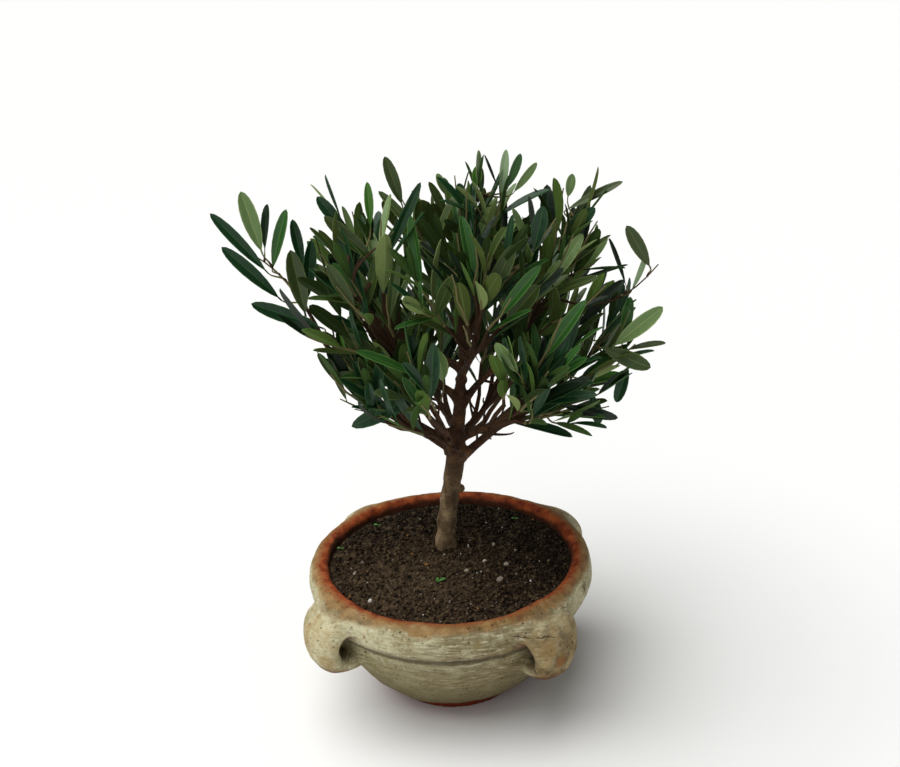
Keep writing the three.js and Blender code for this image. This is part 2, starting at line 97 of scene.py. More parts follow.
CHIP_FLOOR = 104
RELIEF_START = (3, 11)  # heights over which relief sets in, so that the foot stands flat
BOWL_STAINS_AND_SHADE = (  # where, how large and of what colour
    ((103, -52, 113), 2.6, "#2c251c"),
    ((105, -56, 102), 5.5, "#8f7f55"),
    ((115, -30, 107), 3.4, "#5d4630"),
    ((120, -6, 112), 6.5, "#77644a"),
    ((117, 11, 112), 2.4, "#a5562c"),
    ((113, -20, 114), 4.5, "#6b4a2e"),
    ((136, -12, 92), 9, "#94794f"),
    ((140, -3, 80), 7, "#8f6238"),
    ((105, 57, 105), 6.5, "#6a5a40"),
    ((37, -114, 101), 2.2, "#7d4a32"),
    ((52, -107, 102), 2.4, "#96705a"),
    ((24, -106, 77), 2.2, "#2f281d"),
    ((94, -63, 85), 2.2, "#3b3325"),
    # These two are stains that also stand for painted shade on the side of the band away from the light
    ((112, -35, 92), 8, "#857550"),
    ((127, -22, 96), 9, "#8a7852"),
)
BOWL_WEAR_AND_SHADE = (  # where the lime has gone brown with wear and painted shade on the side away from the light: the middle, its reach, how far it is full, its strength
    ((118, -48, 84), 95, 40, 0.6),
    ((134, -6, 76), 48, 22, 0.75),
)
BOWL_CRACKS = (  # middle, way across and half length
    ((126, -18, 103), (0.0, 0.1, 0.995), 19),
    ((115, 21, 110.5), (0.2, 0.25, 0.947), 8),
)

# Soil, as in the solids
SOIL_TOP = 111
SOIL_RADIUS = 102.2
SOIL_FLAT_RADIUS = 45
SOIL_EDGE_DROP = 3
LUMP_HEIGHT = 0.6
LUMP_WAVES = (  # radians for each millimetre along x and y, and at the start
    (0.131, 0.05, 1.1), (-0.055, 0.113, 4), (0.086, -0.129, 2.3),
)
LUMP_EDGE = 10
LUMP_CLEAR = (22, 34)

# Soil, as it lies
SOIL_RINGS = 92
SOIL_TURNS = 420
SOIL_HUB = 0.6
SOIL_UNDERSIDE = ((98, 80), (90, 55), (70, 24), (40, FLOOR + 1))  # radius and height
SOIL_GRAIN = ((6, 1.3), (2.6, 1.2))  # size and height of the crumbs in the bed
SOIL_GRAIN_SINK = 0.9
SOIL_MARGIN = 4  # loose things keep this far from the wall

# What lies on the soil: where, and how large
PEBBLES = (
    (58, 6, 6.5), (42, 27, 5.5), (25, 18, 4), (27, -3, 4.6), (-46, -58, 4.6), (-35, -73, 4.2), (9, -88, 4.2),
    (-10, 30, 3.2), (9, 41, 3.8), (55, -43, 3.2), (-74, 24, 3.4), (-62, 34, 3), (2, 82, 3.2), (57, 25, 3),
    (72, 22, 2.6), (30, 48, 2.8),
)
SEEDLINGS = (  # where, how many leaflets, their length, and 1 for the dry leaf that has fallen among them
    ((25.7, -31.2), 4, 5.6, 0),
    ((-78.5, -58.3), 2, 4, 0),
    ((-15.6, 86.5), 2, 3.6, 0),
    ((-88, -12), 2, 3.6, 0),
    ((-3.4, -24.6), 1, 6, 1),
)
LUMP_RING = ((0.9, 0), (0.28, 0.85), (-0.72, 0.53), (-0.72, -0.53), (0.28, -0.85))  # five corners of a crumb
LEAFLET_WIDTH = 0.65
LEAFLET_SHAPE = (0.2, 0.5, 0.1)  # fold, bend and twist, in radians
LEAFLET_SIZES = (0.6, 1.2)
LEAFLET_RISE = (10, 50)
LEAFLET_TURN = 90
SEEDLING_STALK = 0.8
CRUMB_STRETCH = (0.7, 1.2)
CRUMB_CORNERS = (0.8, 1.15)
PAINTED_LIGHT_SPOT = (13, -41)  # the middle of the part painted lighter, as a pool of light

# Trunk and limbs, as in the solids
TREE_FOOT = (-18.8, 11.6)
TREE_TURN = 53
TRUNK_HEIGHT = 86
TRUNK_LEAN = 12
TRUNK_BEND = (0.38, 0.62)
TRUNK_RADIUS = 8.1
TRUNK_TAPER = 1
FLARE = 2.2
FLARE_FADE = 9
FORK_SWELL = 1.2
FORK_FADE = 6
KNOT_HEIGHT = 53
KNOT_WAY = (0.9, -0.35, 0.25)
KNOT_RADIUS = 3.4
KNOT_LENGTH = 12.5
LEADER_RADIUS = 7.2
BOUGH_RADIUS = 5
BOUGH_SPAN = (-9, 18)
BOUGH_SKIP = 3
LIMB_RADIUS = 3.6
LIMB_SPAN = (0.28, 0.62)
LIMB_SKIP = 2
LIMB_TIP_RADIUS = 2
LIMB_TAPER = 0.8
LIMB_RISE = np.array([0.28, 0.28, 0.42])
LIMB_ARRIVAL = 0.3

# Bark
TRUNK_NODES = (  # how far up, and how swollen
    (0.07, 0.5), (0.15, -0.7), (0.25, 0.8), (0.4, -0.3), (0.5, 0.5), (0.66, -0.4), (0.78, 0.4),
)
NODE_LENGTH = 0.05
ROOT_DEPTH = 4
ROOT_SWELL = 0.6
KNOT_TAPER = (1.4, 0.6)
LIMB_STEPS = 28
LIMB_WANDER = (3.0, 22)  # how far limbs stray, and over what length
LIMB_COLLAR = (0.5, 14)  # how swollen limbs are at the fork, and how soon that fades
BARK_STEP = 0.75
BARK_RUB = (0.5, 5)  # how hard and how often the forks are rubbed smooth
BARK_SWELLINGS = ((0.75, (11, 11, 20)), (0.35, (4, 4, 9)))  # depth, and size along each axis
BARK_CRACKS = ((0.45, (2.2, 2.2, 6)), (0.3, (8, 8, 2.2)))
BARK_FADE = (8, -12)  # over and under the fork: the boughs' relief turns into the trunk's between them
BOUGH_RELIEF = 0.35

# Crown, as in the solids
RINGS = (
    dict(name="lower", count=7, start=2, rise=30, front_lift=14, distance=107, spread=65, reach_right=0.15),
    dict(name="upper", count=5, start=0, rise=61, front_lift=3, distance=176, spread=78, reach_right=0.02),
)
TOP = dict(turn=0, rise=83, distance=184, spread=74)
SPRAY = dict(turn=181, rise=51, distance=208, spread=66)
SPRAY_STEM_RISE = 62
SPRAY_BOUGH = 4
SPRAY_SHARE = 0.75
CROWN_FLOOR = 10
BARE_LENGTH = 62
SPACE_MARGIN = 4
STEM_REACH = 0.55

# Twigs, finer than in the solids
STEM_RADIUS = 1.9
STEM_STEPS = 12
STEM_BARE = 0.45  # the share of a stem that has no leaves
STEM_SPACING = 1.4  # how much further apart leaves are on a stem
SPRAY_STEM = ((-98, -3, 220), (-113, -5, 250), (-135, -6, 266))
SHOOTS = 10
SHOOT_COUNTS = dict(spray=0, top=8, lower_1=8, upper_1=9, upper_2=9, upper_3=9, upper_4=9)
SHOOT_SPAN = (0.0, 0.6)
SHOOT_STEPS = 10
SHOOT_LENGTH = (60, 118)
SHOOT_LENGTH_SPACE = 70  # the space of a mass that has shoots of this length
SHOOT_LEAN = (60, 14)
SHOOT_LEAN_SPREAD = 8
SHOOT_TURN_SPREAD = 0.25  # radians
SHOOT_LIFT = 0.55  # how shoots bend up to the light
SHOOT_FOLLOW = 0.3  # and into the heading of their mass
SHOOT_TRIES = (1, 0.88, 0.76, 0.64, 0.52, 0.4)
SHOOT_RADIUS = 1.15
BRANCH_BACK = 48  # how far down the limb a shoot branches off
BRANCH_SPREAD = 0.3
BRANCH_RADIUS = 2.5
LIMB_BARE = 0.3  # the share of a limb that has no shoots
SIDE_TWIG_EVERY = 3
SIDE_TWIG_STEP = 5
SIDE_TWIG_LENGTH = (26, 44)
SIDE_TWIG_LEAN = 42
SIDE_TWIG_RADIUS = SHOOT_RADIUS * 0.8
BARE_TWIGS = (0.35, 0.55, 0.7, 0.85)
BARE_TWIG_SPREAD = 0.06
BARE_TWIG_LENGTH = (10, 26)
BARE_TWIG_LEAN = 50
BARE_TWIG_LEAN_SPREAD = 15
BARE_TWIG_LIFT = 0.3
BARE_TWIG_RADIUS = SHOOT_RADIUS * 1.25
GOLDEN_TURN = 137.5
TWIG_TIP_RADIUS = 0.5
TWIG_SIDES = 6
TWIG_WANDER = (5, 24)

# Leaves, finer than in the solids
FIRST_LEAVES = 14
LAST_LEAVES = 5
TIP_INSET = 0.5
LEAF_SPACING = 19
SPACING_SPREAD = 0.12
LEAF_LENGTH = 52
LEAF_WIDTH = 10.6
LEAF_WIDTH_SPREAD = 0.25
LEAF_SIZE_SPREAD = 0.2
LEAF_THICKNESS = 0.45
LEAF_ANGLE = 36
LEAF_ANGLE_SPREAD = 10
PAIR_TURN_SPREAD = 0.3  # radians
LEAF_LIFT = 0.2
LEAF_TRIES = (1, 0.7, 0.4, 0.1)
LEAF_SHORTENED = (0.75, 1)  # where there is no room, and where there is
# Fold in degrees, bend and twist in radians: the middle and spread of each
LEAF_SHAPE = ((27, 9), (0.1, 0.3), (0, 0.3))
LEAF_CUP = 0.12
FACE_UP = 0.5  # how leaves turn their upper sides up
FACE_SPREAD = 0.6
SAME_TINT = 0.6  # the share of a spray's leaves that have its tint
TIP_SIZES = (0.68, 0.9, 1.0)  # of the last pairs of leaves, from the tip
TIP_ANGLES = (0.5, 0.8, 1.0)
CROWN_MIDDLE = np.array([10.0, 5.0, 150.0])
CROWN_REACH = np.array([190.0, 140.0, 190.0])
CROWN_CORNER = 3  # how square the crown is from the side: 2 is round
ROOM = (0.7, 0.93)  # shares of the crown's reach that a shoot may fill, so that the crown's skin is open
OVERLAP = 34  # how far neighbouring masses grow into each other

# Twigs and leaves that stand out from the crown.
# Each leaf has its root, tip, width, tint, and turn from facing the camera.
LONG_TWIGS = {"upper_1": (((116, -6, 207), (178, -6, 243)),)}
PLACED_LEAVES = {
    "spray": (
        ((-130, -6, 268), (-141, -8, 318), 14, 3, 5),
        ((-128, -6, 270), (-125, 4, 305), 9, 0, -40),
        ((-127, -6, 252), (-164, -14, 304), 11, 1, 10),
        ((-124, -5, 254), (-111, 0, 301), 11, 2, -20),
        ((-119, -5, 229), (-158, -16, 278), 12, 1, 15),
        ((-101, -8, 216), (-106, -22, 276), 16, 5, 0),
        ((-100, -4, 225), (-93, 6, 274), 12, 1, 25),
        ((-88, -8, 205), (-141, -22, 234), 13, 1, -10),
        ((-101, 6, 251), (-106, 10, 290), 10, 1, 15),
    ),
    "upper_1": (
        ((172, -6, 240), (152, -12, 277), 12, 5, 5),
        ((157, -6, 222), (170, -2, 251), 7, 4, 40),
        ((153, -6, 226), (140, 2, 264), 7, 0, 50),
        ((107, 6, 287), (150, 0, 310), 8, 5, -25),
        ((109, 8, 296), (113, 8, 315), 8, 3, 10),
        ((103, 0, 267), (129, -6, 291), 12, 1, 0),
    ),
    "lower_1": (
        ((140, -20, 181), (177, -30, 215), 15, 3, 0),
        ((131, -20, 181), (168, -34, 167), 14, 5, 10),
        ((148, -18, 182), (155, -14, 220), 10, 2, 0),
        ((154, -14, 163), (143, -20, 133), 11, 1, 15),
    ),
    "top": (
        ((57, 0, 301), (62, 0, 338), 8, 4, 0),
        ((62, 0, 308), (73, 2, 334), 8, 2, 10),
        ((54, 0, 311), (45, 4, 334), 4, 0, 50),
        ((66, 0, 304), (85, 0, 327), 7, 3, 20),
        ((38, 4, 309), (40, 4, 326), 9, 6, 0),
        ((15, 2, 304), (9, 2, 322), 7, 3, 10),
        ((28, 4, 296), (25, 4, 313), 9, 1, 5),
    ),
    "upper_4": (
        ((-44, -20, 288), (-44, -22, 324), 8, 6, 15),
        ((-19, -10, 301), (-30, -12, 340), 11, 5, 0),
        ((-64, -25, 290), (-81, -30, 316), 11, 1, 0),
        ((-40, -35, 264), (-75, -46, 305), 12, 5, 5),
        ((-34, -30, 265), (-4, -24, 322), 9, 1, 10),
    ),
    "upper_5": (
        ((78, -40, 268), (86, -40, 303), 12, 1, 0),
        ((75, -30, 270), (63, -34, 301), 8, 3, 30),
    ),
    "upper_3": (
        ((-77, 72, 224), (-107, 101, 247), 12, 1, 160),
        ((-72, 66, 220), (-101, 76, 256), 11, 2, 150),
        ((-72, 66, 220), (-92, 106, 232), 11, 5, 170),
    ),
    "lower_6": (
        ((5, -55, 173), (2, -62, 202), 14, 3, 0),
    ),
    "lower_5": (
        ((-12, -40, 158), (-68, -56, 140), 15, 1, 0),
        ((-21, -42, 169), (-81, -52, 181), 14, 5, 0),
        ((-39, -40, 185), (-69, -48, 213), 13, 5, 0),
    ),
    "lower_7": (
        ((120, -40, 152), (126, -48, 127), 11, 1, 0),
        ((95, -44, 144), (140, -52, 134), 10, 0, 10),
    ),
}
PLACED_SHAPE = ((24, 6), (0.05, 0.15), (0, 0.2))
PLACED_TWIG_RADIUS = SHOOT_RADIUS * 0.9
LONG_TWIG_SAG = 1 / 8
VIEW_WAY = np.array([0.0, -0.927, 0.375])
TWIG_LEAD = 14  # how far behind a leaf's root its twig heads for

# The seed of each mass, picked for an outline like the photograph's and a crown that is full from above
LEAF_SEEDS = dict(
    top=47, lower_1=4, lower_2=88, lower_3=3, lower_4=70, lower_5=29, lower_6=99, lower_7=91,
    upper_1=98, upper_2=25, upper_3=42, upper_4=64, upper_5=98, spray=49,
)

# The floor of the leaves: the crown opens like a vase, with a window in front of the boughs
LEFT_RISE = (0.48, 84, 1.3)  # slope, and the more of it past a distance
LEFT_MOST = 128
FRONT_RISE = 0.38
BACK_RISE = 0.3
WINDOW_MIDDLE = 10
WINDOW_HALF_WIDTH = 36
WINDOW_HEIGHT = (95, 62)  # in front of the boughs and behind them
WINDOW_BACK = 15
WINDOW_SLOPE = 0.4


def unit(way):
    return way / np.linalg.norm(way)


def lerp(ends, share):
    return ends[0] + (ends[1] - ends[0]) * share


def fade(ends, value):
    """0 to 1 as a value goes from the first end to the second."""
    return np.clip((value - ends[0]) / (ends[1] - ends[0]), 0, 1)


def direction(turn, rise):
    turn, rise = math.radians(turn), math.radians(rise)
    return np.array([math.cos(turn) * math.cos(rise), math.sin(turn) * math.cos(rise), math.sin(rise)])


def cubic(corners, share):
    """Points on a cubic Bezier curve at shares of it."""
    a, b, c, d = (np.asarray(corner, float) for corner in corners)
    s = np.atleast_1d(share)[:, None]
    return a * (1 - s) ** 3 + 3 * b * s * (1 - s) ** 2 + 3 * c * s**2 * (1 - s) + d * s**3


def quadratic(a, pull, b, steps=16):
    """Points on a quadratic curve after its start."""
    a, pull, b = (np.asarray(corner, float) for corner in (a, pull, b))
    return [a * (1 - s) ** 2 + 2 * pull * s * (1 - s) + b * s**2 for s in np.linspace(0, 1, steps + 1)[1:]]


def to_part(points):
    """Points in the tree's axes, in the axes of the whole part."""
    turn = math.radians(TREE_TURN)
    x, y, z = np.asarray(points, float).T
    return np.column_stack([
        x * math.cos(turn) - y * math.sin(turn) + TREE_FOOT[0],
        x * math.sin(turn) + y * math.cos(turn) + TREE_FOOT[1],
        z + SOIL_TOP + GAP,
    ])


def rough(points, grain, seed=0):
    """Smooth noise from -1 to 1 at points, with lumps about as large as grain, along each axis."""
    places = np.asarray(points) / np.asarray(grain) + seed * 17.3
    return np.array([noise.noise(Vector(place)) for place in places])


def wandering(line, wander, seed):
    """A line that strays from its course, most in its middle."""
    depth, size = wander
    stray = np.column_stack([rough(line, size, seed + axis) for axis in range(3)])
    return line + stray * (depth * np.sin(np.linspace(0, 1, len(line)) * math.pi))[:, None]


def run(line):
    """How long a line is up to each of its points."""
    return np.append(0, np.cumsum(np.linalg.norm(np.diff(line, axis=0), axis=1)))


def on_line(line, place):
    """The point of a line at a length from its start, and the way that it runs there."""
    lengths = run(line)
    step = min(int(np.searchsorted(lengths, place)), len(line) - 1)
    point = np.array([np.interp(place, lengths, line[:, axis]) for axis in range(3)])
    return point, unit(line[step] - line[step - 1])


def normals(points, faces):
    """The outward way at each point of a mesh of four-sided faces."""
    a, b, c, d = (points[faces[:, i]] for i in range(4))
    across = np.cross(c - a, d - b)
    total = np.zeros_like(points)
    for i in range(4):
        np.add.at(total, faces[:, i], across)
    return total / np.maximum(np.linalg.norm(total, axis=1), 1e-12)[:, None]


# Materials


def linear(hex_colour):
    """The linear RGBA of an sRGB hex colour."""
    parts = [int(hex_colour[i:i + 2], 16) / 255 for i in (1, 3, 5)]
    return tuple(p / 12.92 if p <= 0.04045 else ((p + 0.055) / 1.055) ** 2.4 for p in parts) + (1.0,)


def new_material(name):
    """A material with nothing but the place of each point, in millimetres, which it returns too."""
    material = bpy.data.materials.new(name)
    material.use_nodes = True
    material.node_tree.nodes.clear()
    place = add(material, "TexCoord", out="Object")
    return material, add(material, "VectorMath", {0: place, 1: [1 / MM] * 3}, operation="MULTIPLY")


def add(material, kind, inputs=None, out=0, stops=(), **settings):
    """Adds a node with its settings, links or sets its inputs, and returns one of its outputs.
    stops are the places and colours of a ramp: its ends first."""
    made = material.node_tree.nodes.new("ShaderNode" + kind)
    for name, value in settings.items():
        setattr(made, name, value)
    for name, value in (inputs or {}).items():
        if isinstance(value, bpy.types.NodeSocket):
            material.node_tree.links.new(value, made.inputs[name])
        else:
            made.inputs[name].default_value = value
    for i, (place, colour) in enumerate(stops):
        ramp = made.color_ramp.elements
        element = ramp[i] if i < 2 else ramp.new(place)
        element.position = place
        element.color = linear(colour)
    return made.outputs[out] if made.outputs else None


def coated(material, colour, coats):
    """A colour with coats laid over it. Each coat shows where all its values lie in their ranges. It has
    those (value, where it starts to show, where it shows in full), its strength and its colour."""
    for ranges, strength, over in coats:
        for value, starts, full in ranges:
            shown = add(material, "MapRange", {"Value": value, "From Min": starts, "From Max": full})
            strength = add(material, "Math", {0: shown, 1: strength}, operation="MULTIPLY")
        over = linear(over) if isinstance(over, str) else over
        colour = add(material, "Mix", {0: strength, 6: colour, 7: over}, out=2, data_type="RGBA")
    return colour


def finished(material, colour, relief, depth, roughness, gloss):
    """Gives a material its colour, a relief of some depth, its roughness and its gloss."""
    bump = add(material, "Bump", {"Height": relief, "Distance": depth * MM})
    surface = add(material, "BsdfPrincipled", {
        "Base Color": colour, "Roughness": roughness, "Specular IOR Level": gloss, "Normal": bump})
    add(material, "OutputMaterial", {"Surface": surface})
    return material


def limewash():
    """Limewash brushed over thrown, unglazed terracotta: a chalky, greenish cream coat, rubbed off to red
    clay at the foot and inside the rim, stained ochre where water stands, and pitted all over, with painted
    shade low on the belly, in the groove, at the foot, under the lugs, in their eyes and on the side away
    from the light."""
    m, place = new_material("limewashed terracotta")
    height = add(m, "SeparateXYZ", {0: place}, out="Z")
    flat = add(m, "VectorMath", {0: place, 1: (1, 1, 0)}, operation="MULTIPLY")
    away = add(m, "VectorMath", {0: flat}, out="Value", operation="LENGTH")
    facing = add(m, "SeparateXYZ", {0: add(m, "NewGeometry", out="Normal")}, out="Z")
    level = add(m, "VectorMath", {0: place, 1: (1, 1, 7)}, operation="MULTIPLY")
    blotches, patches, smudges, flecks, grain, streaks, strokes = (
        add(m, "TexNoise", {"Vector": way, "Scale": 1 / size, "Detail": detail})
        for way, size, detail in (
            (place, 26, 4.0), (place, 15, 4.0), (place, 9, 6.0), (place, 3.4, 4.0), (place, 2.2, 3.0),
            (level, 24, 5.0), (level, 11, 4.0)))
    pits, specks = (add(m, "TexVoronoi", {"Vector": place, "Scale": 1 / size}) for size in (5.5, 2.6))
    ragged_height = add(m, "Math", {0: blotches, 1: 14, 2: height}, operation="MULTIPLY_ADD")
    ragged_away = add(m, "Math", {0: smudges, 1: 9, 2: away}, operation="MULTIPLY_ADD")
    ragged_away = add(m, "Math", {0: flecks, 1: 6, 2: ragged_away}, operation="MULTIPLY_ADD")
    wash, ochre, clay = (
        add(m, "ValToRGB", {0: pattern}, stops=stops)
        for pattern, stops in (
            (blotches, [(0.28, "#8b825b"), (0.66, "#c8c3a0"), (0.46, "#aea682")]),
            (smudges, [(0.3, "#634c28"), (0.72, "#a07c4a"), (0.5, "#846032")]),
            (smudges, [(0.3, "#652913"), (0.7, "#b45e2f"), (0.5, "#924320")])))
    wear_and_shade = []
    for (spot, reach, full, strength), broken in zip(BOWL_WEAR_AND_SHADE, (strokes, smudges)):
        near = add(m, "VectorMath", {0: place, 1: spot}, out="Value", operation="DISTANCE")
        wear_and_shade.append(([(near, reach, full), (patches, 0.28, 0.52), (broken, 0.7, 0.42)], strength, "#59462a"))
    under_band = (away, 114, 111)
    coats = [
        # The lime itself is uneven: yellowed smudges, pale grain, brush strokes and flecks
        ([(smudges, 0.52, 0.78)], 1.0, "#a0916a"),
        ([(grain, 0.58, 0.75)], 0.8, "#d0cbae"),
        ([(strokes, 0.54, 0.6), (patches, 0.45, 0.55)], 0.55, "#d2cdb0"),
        ([(strokes, 0.46, 0.4), (patches, 0.55, 0.45)], 0.5, "#8a7f5e"),
        ([(flecks, 0.58, 0.63), (smudges, 0.42, 0.55)], 0.6, "#d9d5bc"),
        ([(flecks, 0.41, 0.36), (smudges, 0.55, 0.42)], 0.6, "#776b4b"),
        # Water has left darker rings on the belly; painted shade darkens it towards the foot and lies in the
        # groove above it
        ([(height, 80, 62), under_band], 0.6, "#776c48"),
        ([(height, 60, 24), under_band], 0.75, "#51462a"),
        ([(height, 80, 72), under_band, (streaks, 0.42, 0.68)], 0.55, "#6f6646"),
        ([(height, 78, 80), (height, 83, 81), (away, 114, 112)], 0.8, "#4f4630"),
        # One side has gone brown with wear and with painted shade away from the light, along the brush
        # strokes and in smudges on its lug
        *wear_and_shade,
        # Standing water has stained the top of the rim and the noses of the lugs ochre
        ([(ragged_height, 116.5, 120)], 0.85, ochre),
        ([(away, 124, 134), (smudges, 0.35, 0.62)], 0.5, "#a5854f"),
        # Bare clay at the foot, darkened by painted shade; bare clay under the lugs, darker as painted shade;
        # and painted shade in the eyes of the lugs
        ([(ragged_height, 27, 21)], 1.0, "#6e2a15"),
        # Faces that turn down, under the lugs and the band: bare clay, made darker by painted shade
        ([(facing, -0.3, -0.7), (away, 113, 119)], 0.85, "#5a2a17"),
        # Painted shade in the eyes of the lugs
        ([(away, 111, 113), (away, 125, 121), (height, 68, 72), (height, 90, 86)], 0.8, "#3a3222"),
        # Bare clay inside the rim, and soil splashed on the foot of that wall
        ([(ragged_away, 121.5, 118.5), (height, 102, 106)], 0.7, "#8f4f28"),
        ([(ragged_away, 117.2, 115.4), (height, 98, 102)], 1.0, clay),
        ([(ragged_height, 121, 117.5), (away, 107, 105.5), (height, 98, 102)], 0.85, "#2f1b10"),
        # Pits, and finer specks of dirt
        ([(pits, 0.16, 0.09), (patches, 0.46, 0.56)], 0.85, "#3d3325"),
        ([(specks, 0.2, 0.12), (patches, 0.6, 0.48)], 0.6, "#5a4c35"),
    ]
    # Stains, and at two of them painted shade on the side away from the light
    for spot, size, stain_and_shade in BOWL_STAINS_AND_SHADE:
        near = add(m, "VectorMath", {0: place, 1: spot}, out="Value", operation="DISTANCE")
        ragged = add(m, "Math", {0: flecks, 1: 1.6 * size, 2: near}, operation="MULTIPLY_ADD")
        coats.append(([(ragged, 1.7 * size, 1.2 * size)], 0.8, stain_and_shade))
    for middle, across, reach in BOWL_CRACKS:
        apart = add(m, "VectorMath", {0: place, 1: middle}, operation="SUBTRACT")
        off = add(m, "VectorMath", {0: apart, 1: across}, out="Value", operation="DOT_PRODUCT")
        sway = add(m, "Math", {0: smudges, 1: 0.5}, operation="SUBTRACT")
        wavy = add(m, "Math", {0: sway, 1: 9, 2: off}, operation="MULTIPLY_ADD")
        thin = add(m, "Math", {0: wavy}, operation="ABSOLUTE")
        near = add(m, "VectorMath", {0: apart}, out="Value", operation="LENGTH")
        coats.append(([(thin, 0.6, 0.25), (near, reach, reach - 3), (flecks, 0.36, 0.46)], 0.95, "#2b2216"))
    pitted = add(m, "MapRange", {"Value": pits, "From Min": 0.16, "From Max": 0.09, "To Max": -1.5})
    relief = add(m, "Math", {0: streaks, 1: 0.6, 2: grain}, operation="MULTIPLY_ADD")
    relief = add(m, "Math", {0: relief, 1: pitted}, operation="ADD")
    return finished(m, coated(m, wash, coats), relief, 0.9, roughness=0.93, gloss=0.2)


def potting_soil(name, damp_dark, damp_pale, grain_pale):
    """Damp peat and loam: nearly black crumbs, with painted light that turns them grey-brown round one spot
    and painted shade away from it, and no shine.
    """
    m, place = new_material(name)
    patches, clods, crumbs = (
        add(m, "TexNoise", {"Vector": place, "Scale": 1 / size, "Detail": detail})
        for size, detail in ((22, 5.0), (7, 4.0), (2.0, 5.0)))
    from_spot = add(m, "VectorMath", {0: place, 1: (*PAINTED_LIGHT_SPOT, SOIL_TOP)}, out="Value", operation="DISTANCE")
    ragged = add(m, "Math", {0: patches, 1: 60, 2: from_spot}, operation="MULTIPLY_ADD")
    damp = add(m, "ValToRGB", {0: patches}, stops=[(0.36, damp_dark), (0.66, damp_pale)])
    colour = coated(m, damp, [
        # Painted light round one spot, and painted shade further from it
        ([(ragged, 100, 40)], 0.4, "#64533d"),
        ([(ragged, 85, 150)], 0.75, "#100a05"),
        ([(clods, 0.54, 0.66)], 0.4, "#6b5a44"),
        ([(clods, 0.46, 0.34)], 0.75, "#0e0905"),
        ([(crumbs, 0.54, 0.7)], 0.65, grain_pale),
        ([(crumbs, 0.48, 0.34)], 0.85, "#0d0805"),
    ])
    return finished(m, colour, crumbs, 1.2, roughness=0.97, gloss=0.12)


def olive_bark():
    """Young olive bark: smooth grey-brown with fine rings and pale pores on the trunk, redder and darker
    on the boughs, with hardly any shine."""
    m, place = new_material("young olive bark")
    height = add(m, "SeparateXYZ", {0: place}, out="Z")
    upright = add(m, "VectorMath", {0: place, 1: (1, 1, 0.8)}, operation="MULTIPLY")
    level = add(m, "VectorMath", {0: place, 1: (1, 1, 3)}, operation="MULTIPLY")
    patches = add(m, "TexNoise", {"Vector": upright, "Scale": 1 / 10, "Detail": 6.0})
    rings = add(m, "TexNoise", {"Vector": level, "Scale": 1 / 6, "Detail": 4.0})
    pores = add(m, "TexVoronoi", {"Vector": level, "Scale": 1 / 5})
    trunk, bough = (
        add(m, "ValToRGB", {0: patches}, stops=stops)
        for stops in (
            [(0.32, "#4b3a26"), (0.68, "#937d5d"), (0.5, "#6e5a40")],
            [(0.32, "#241307"), (0.7, "#583a1f"), (0.5, "#3b2311")]))
    colour = coated(m, trunk, [
        ([(height, SOIL_TOP + 45, SOIL_TOP + 92)], 1.0, bough),
        ([(rings, 0.52, 0.64)], 0.5, "#38291a"),
        ([(pores, 0.16, 0.1)], 0.5, "#97866a"),
    ])
    return finished(m, colour, rings, 0.6, roughness=0.82, gloss=0.25)


def plain_growth(name, colour, roughness, grain, depth, gloss=0.3):
    """A small surface of one colour, so that each spray or crumb keeps its own, with fine relief."""
    m, place = new_material(name)
    relief = add(m, "TexNoise", {"Vector": place, "Scale": 1 / grain, "Detail": 2.0})
    return finished(m, linear(colour), relief, depth, roughness, gloss)


# Pieces


def piece(name, points, faces, materials, stands_for, kinds=None, sharp=None):
    """Adds a mesh to the part from points in its axes. kinds gives each face's material."""
    mesh = bpy.data.meshes.new(name)
    mesh.from_pydata((np.asarray(points) * MM).tolist(), [], [list(map(int, face)) for face in faces])
    for material in materials:
        mesh.materials.append(material)
    if kinds is not None:
        mesh.polygons.foreach_set("material_index", np.asarray(kinds, np.int32))
    mesh.polygons.foreach_set("use_smooth", np.ones(len(mesh.polygons), bool))
    if sharp is not None:
        mesh.set_sharp_from_angle(angle=math.radians(sharp))
    mesh.update()
    made = bpy.data.objects.new(name, mesh)
    bpy.context.scene.collection.objects.link(made)
    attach(made, "root")
    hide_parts(*stands_for)


class Heap:
    """Points and faces of many small things, joined."""

    def __init__(self):
        self.points, self.faces, self.kinds, self.count = [], [], [], 0

    def put(self, points, faces, kinds):
        self.points.append(points)
        self.faces.extend([corner + self.count for corner in face] for face in faces)
        self.kinds.extend(kinds)
        self.count += len(points)

    def make(self, name, materials, slot, stands_for, sharp):
        piece(name, np.vstack(self.points), self.faces, materials, [stands_for], self.kinds, sharp)


# Bowl


def bowl_outside():
    points = [np.array([FOOT_RADIUS, 0.0]), np.array([FOOT_RADIUS, FOOT_HEIGHT])]
    points += quadratic(points[-1], BELLY_PULL, (BELLY_RADIUS, BELLY_TOP))
    points.append(np.array([BELLY_RADIUS - GROOVE_DEPTH, BELLY_TOP + GROOVE_DEPTH]))
    points += quadratic(points[-1], BAND_PULL, (BAND_RADIUS, BAND_HEIGHT))
    points += quadratic(points[-1], LIP_PULL, (LIP_RADIUS, BOWL_HEIGHT))
    return points


def bowl_inside():
    points = [np.array([MOUTH_RADIUS, BOWL_HEIGHT - MOUTH_DEPTH]), np.array([BELLY_RADIUS - WALL, BELLY_TOP])]
    pull = (BELLY_PULL[0] - WALL, BELLY_PULL[1] + WALL)
    return points + quadratic(points[-1], pull, (FOOT_RADIUS - WALL, FLOOR))


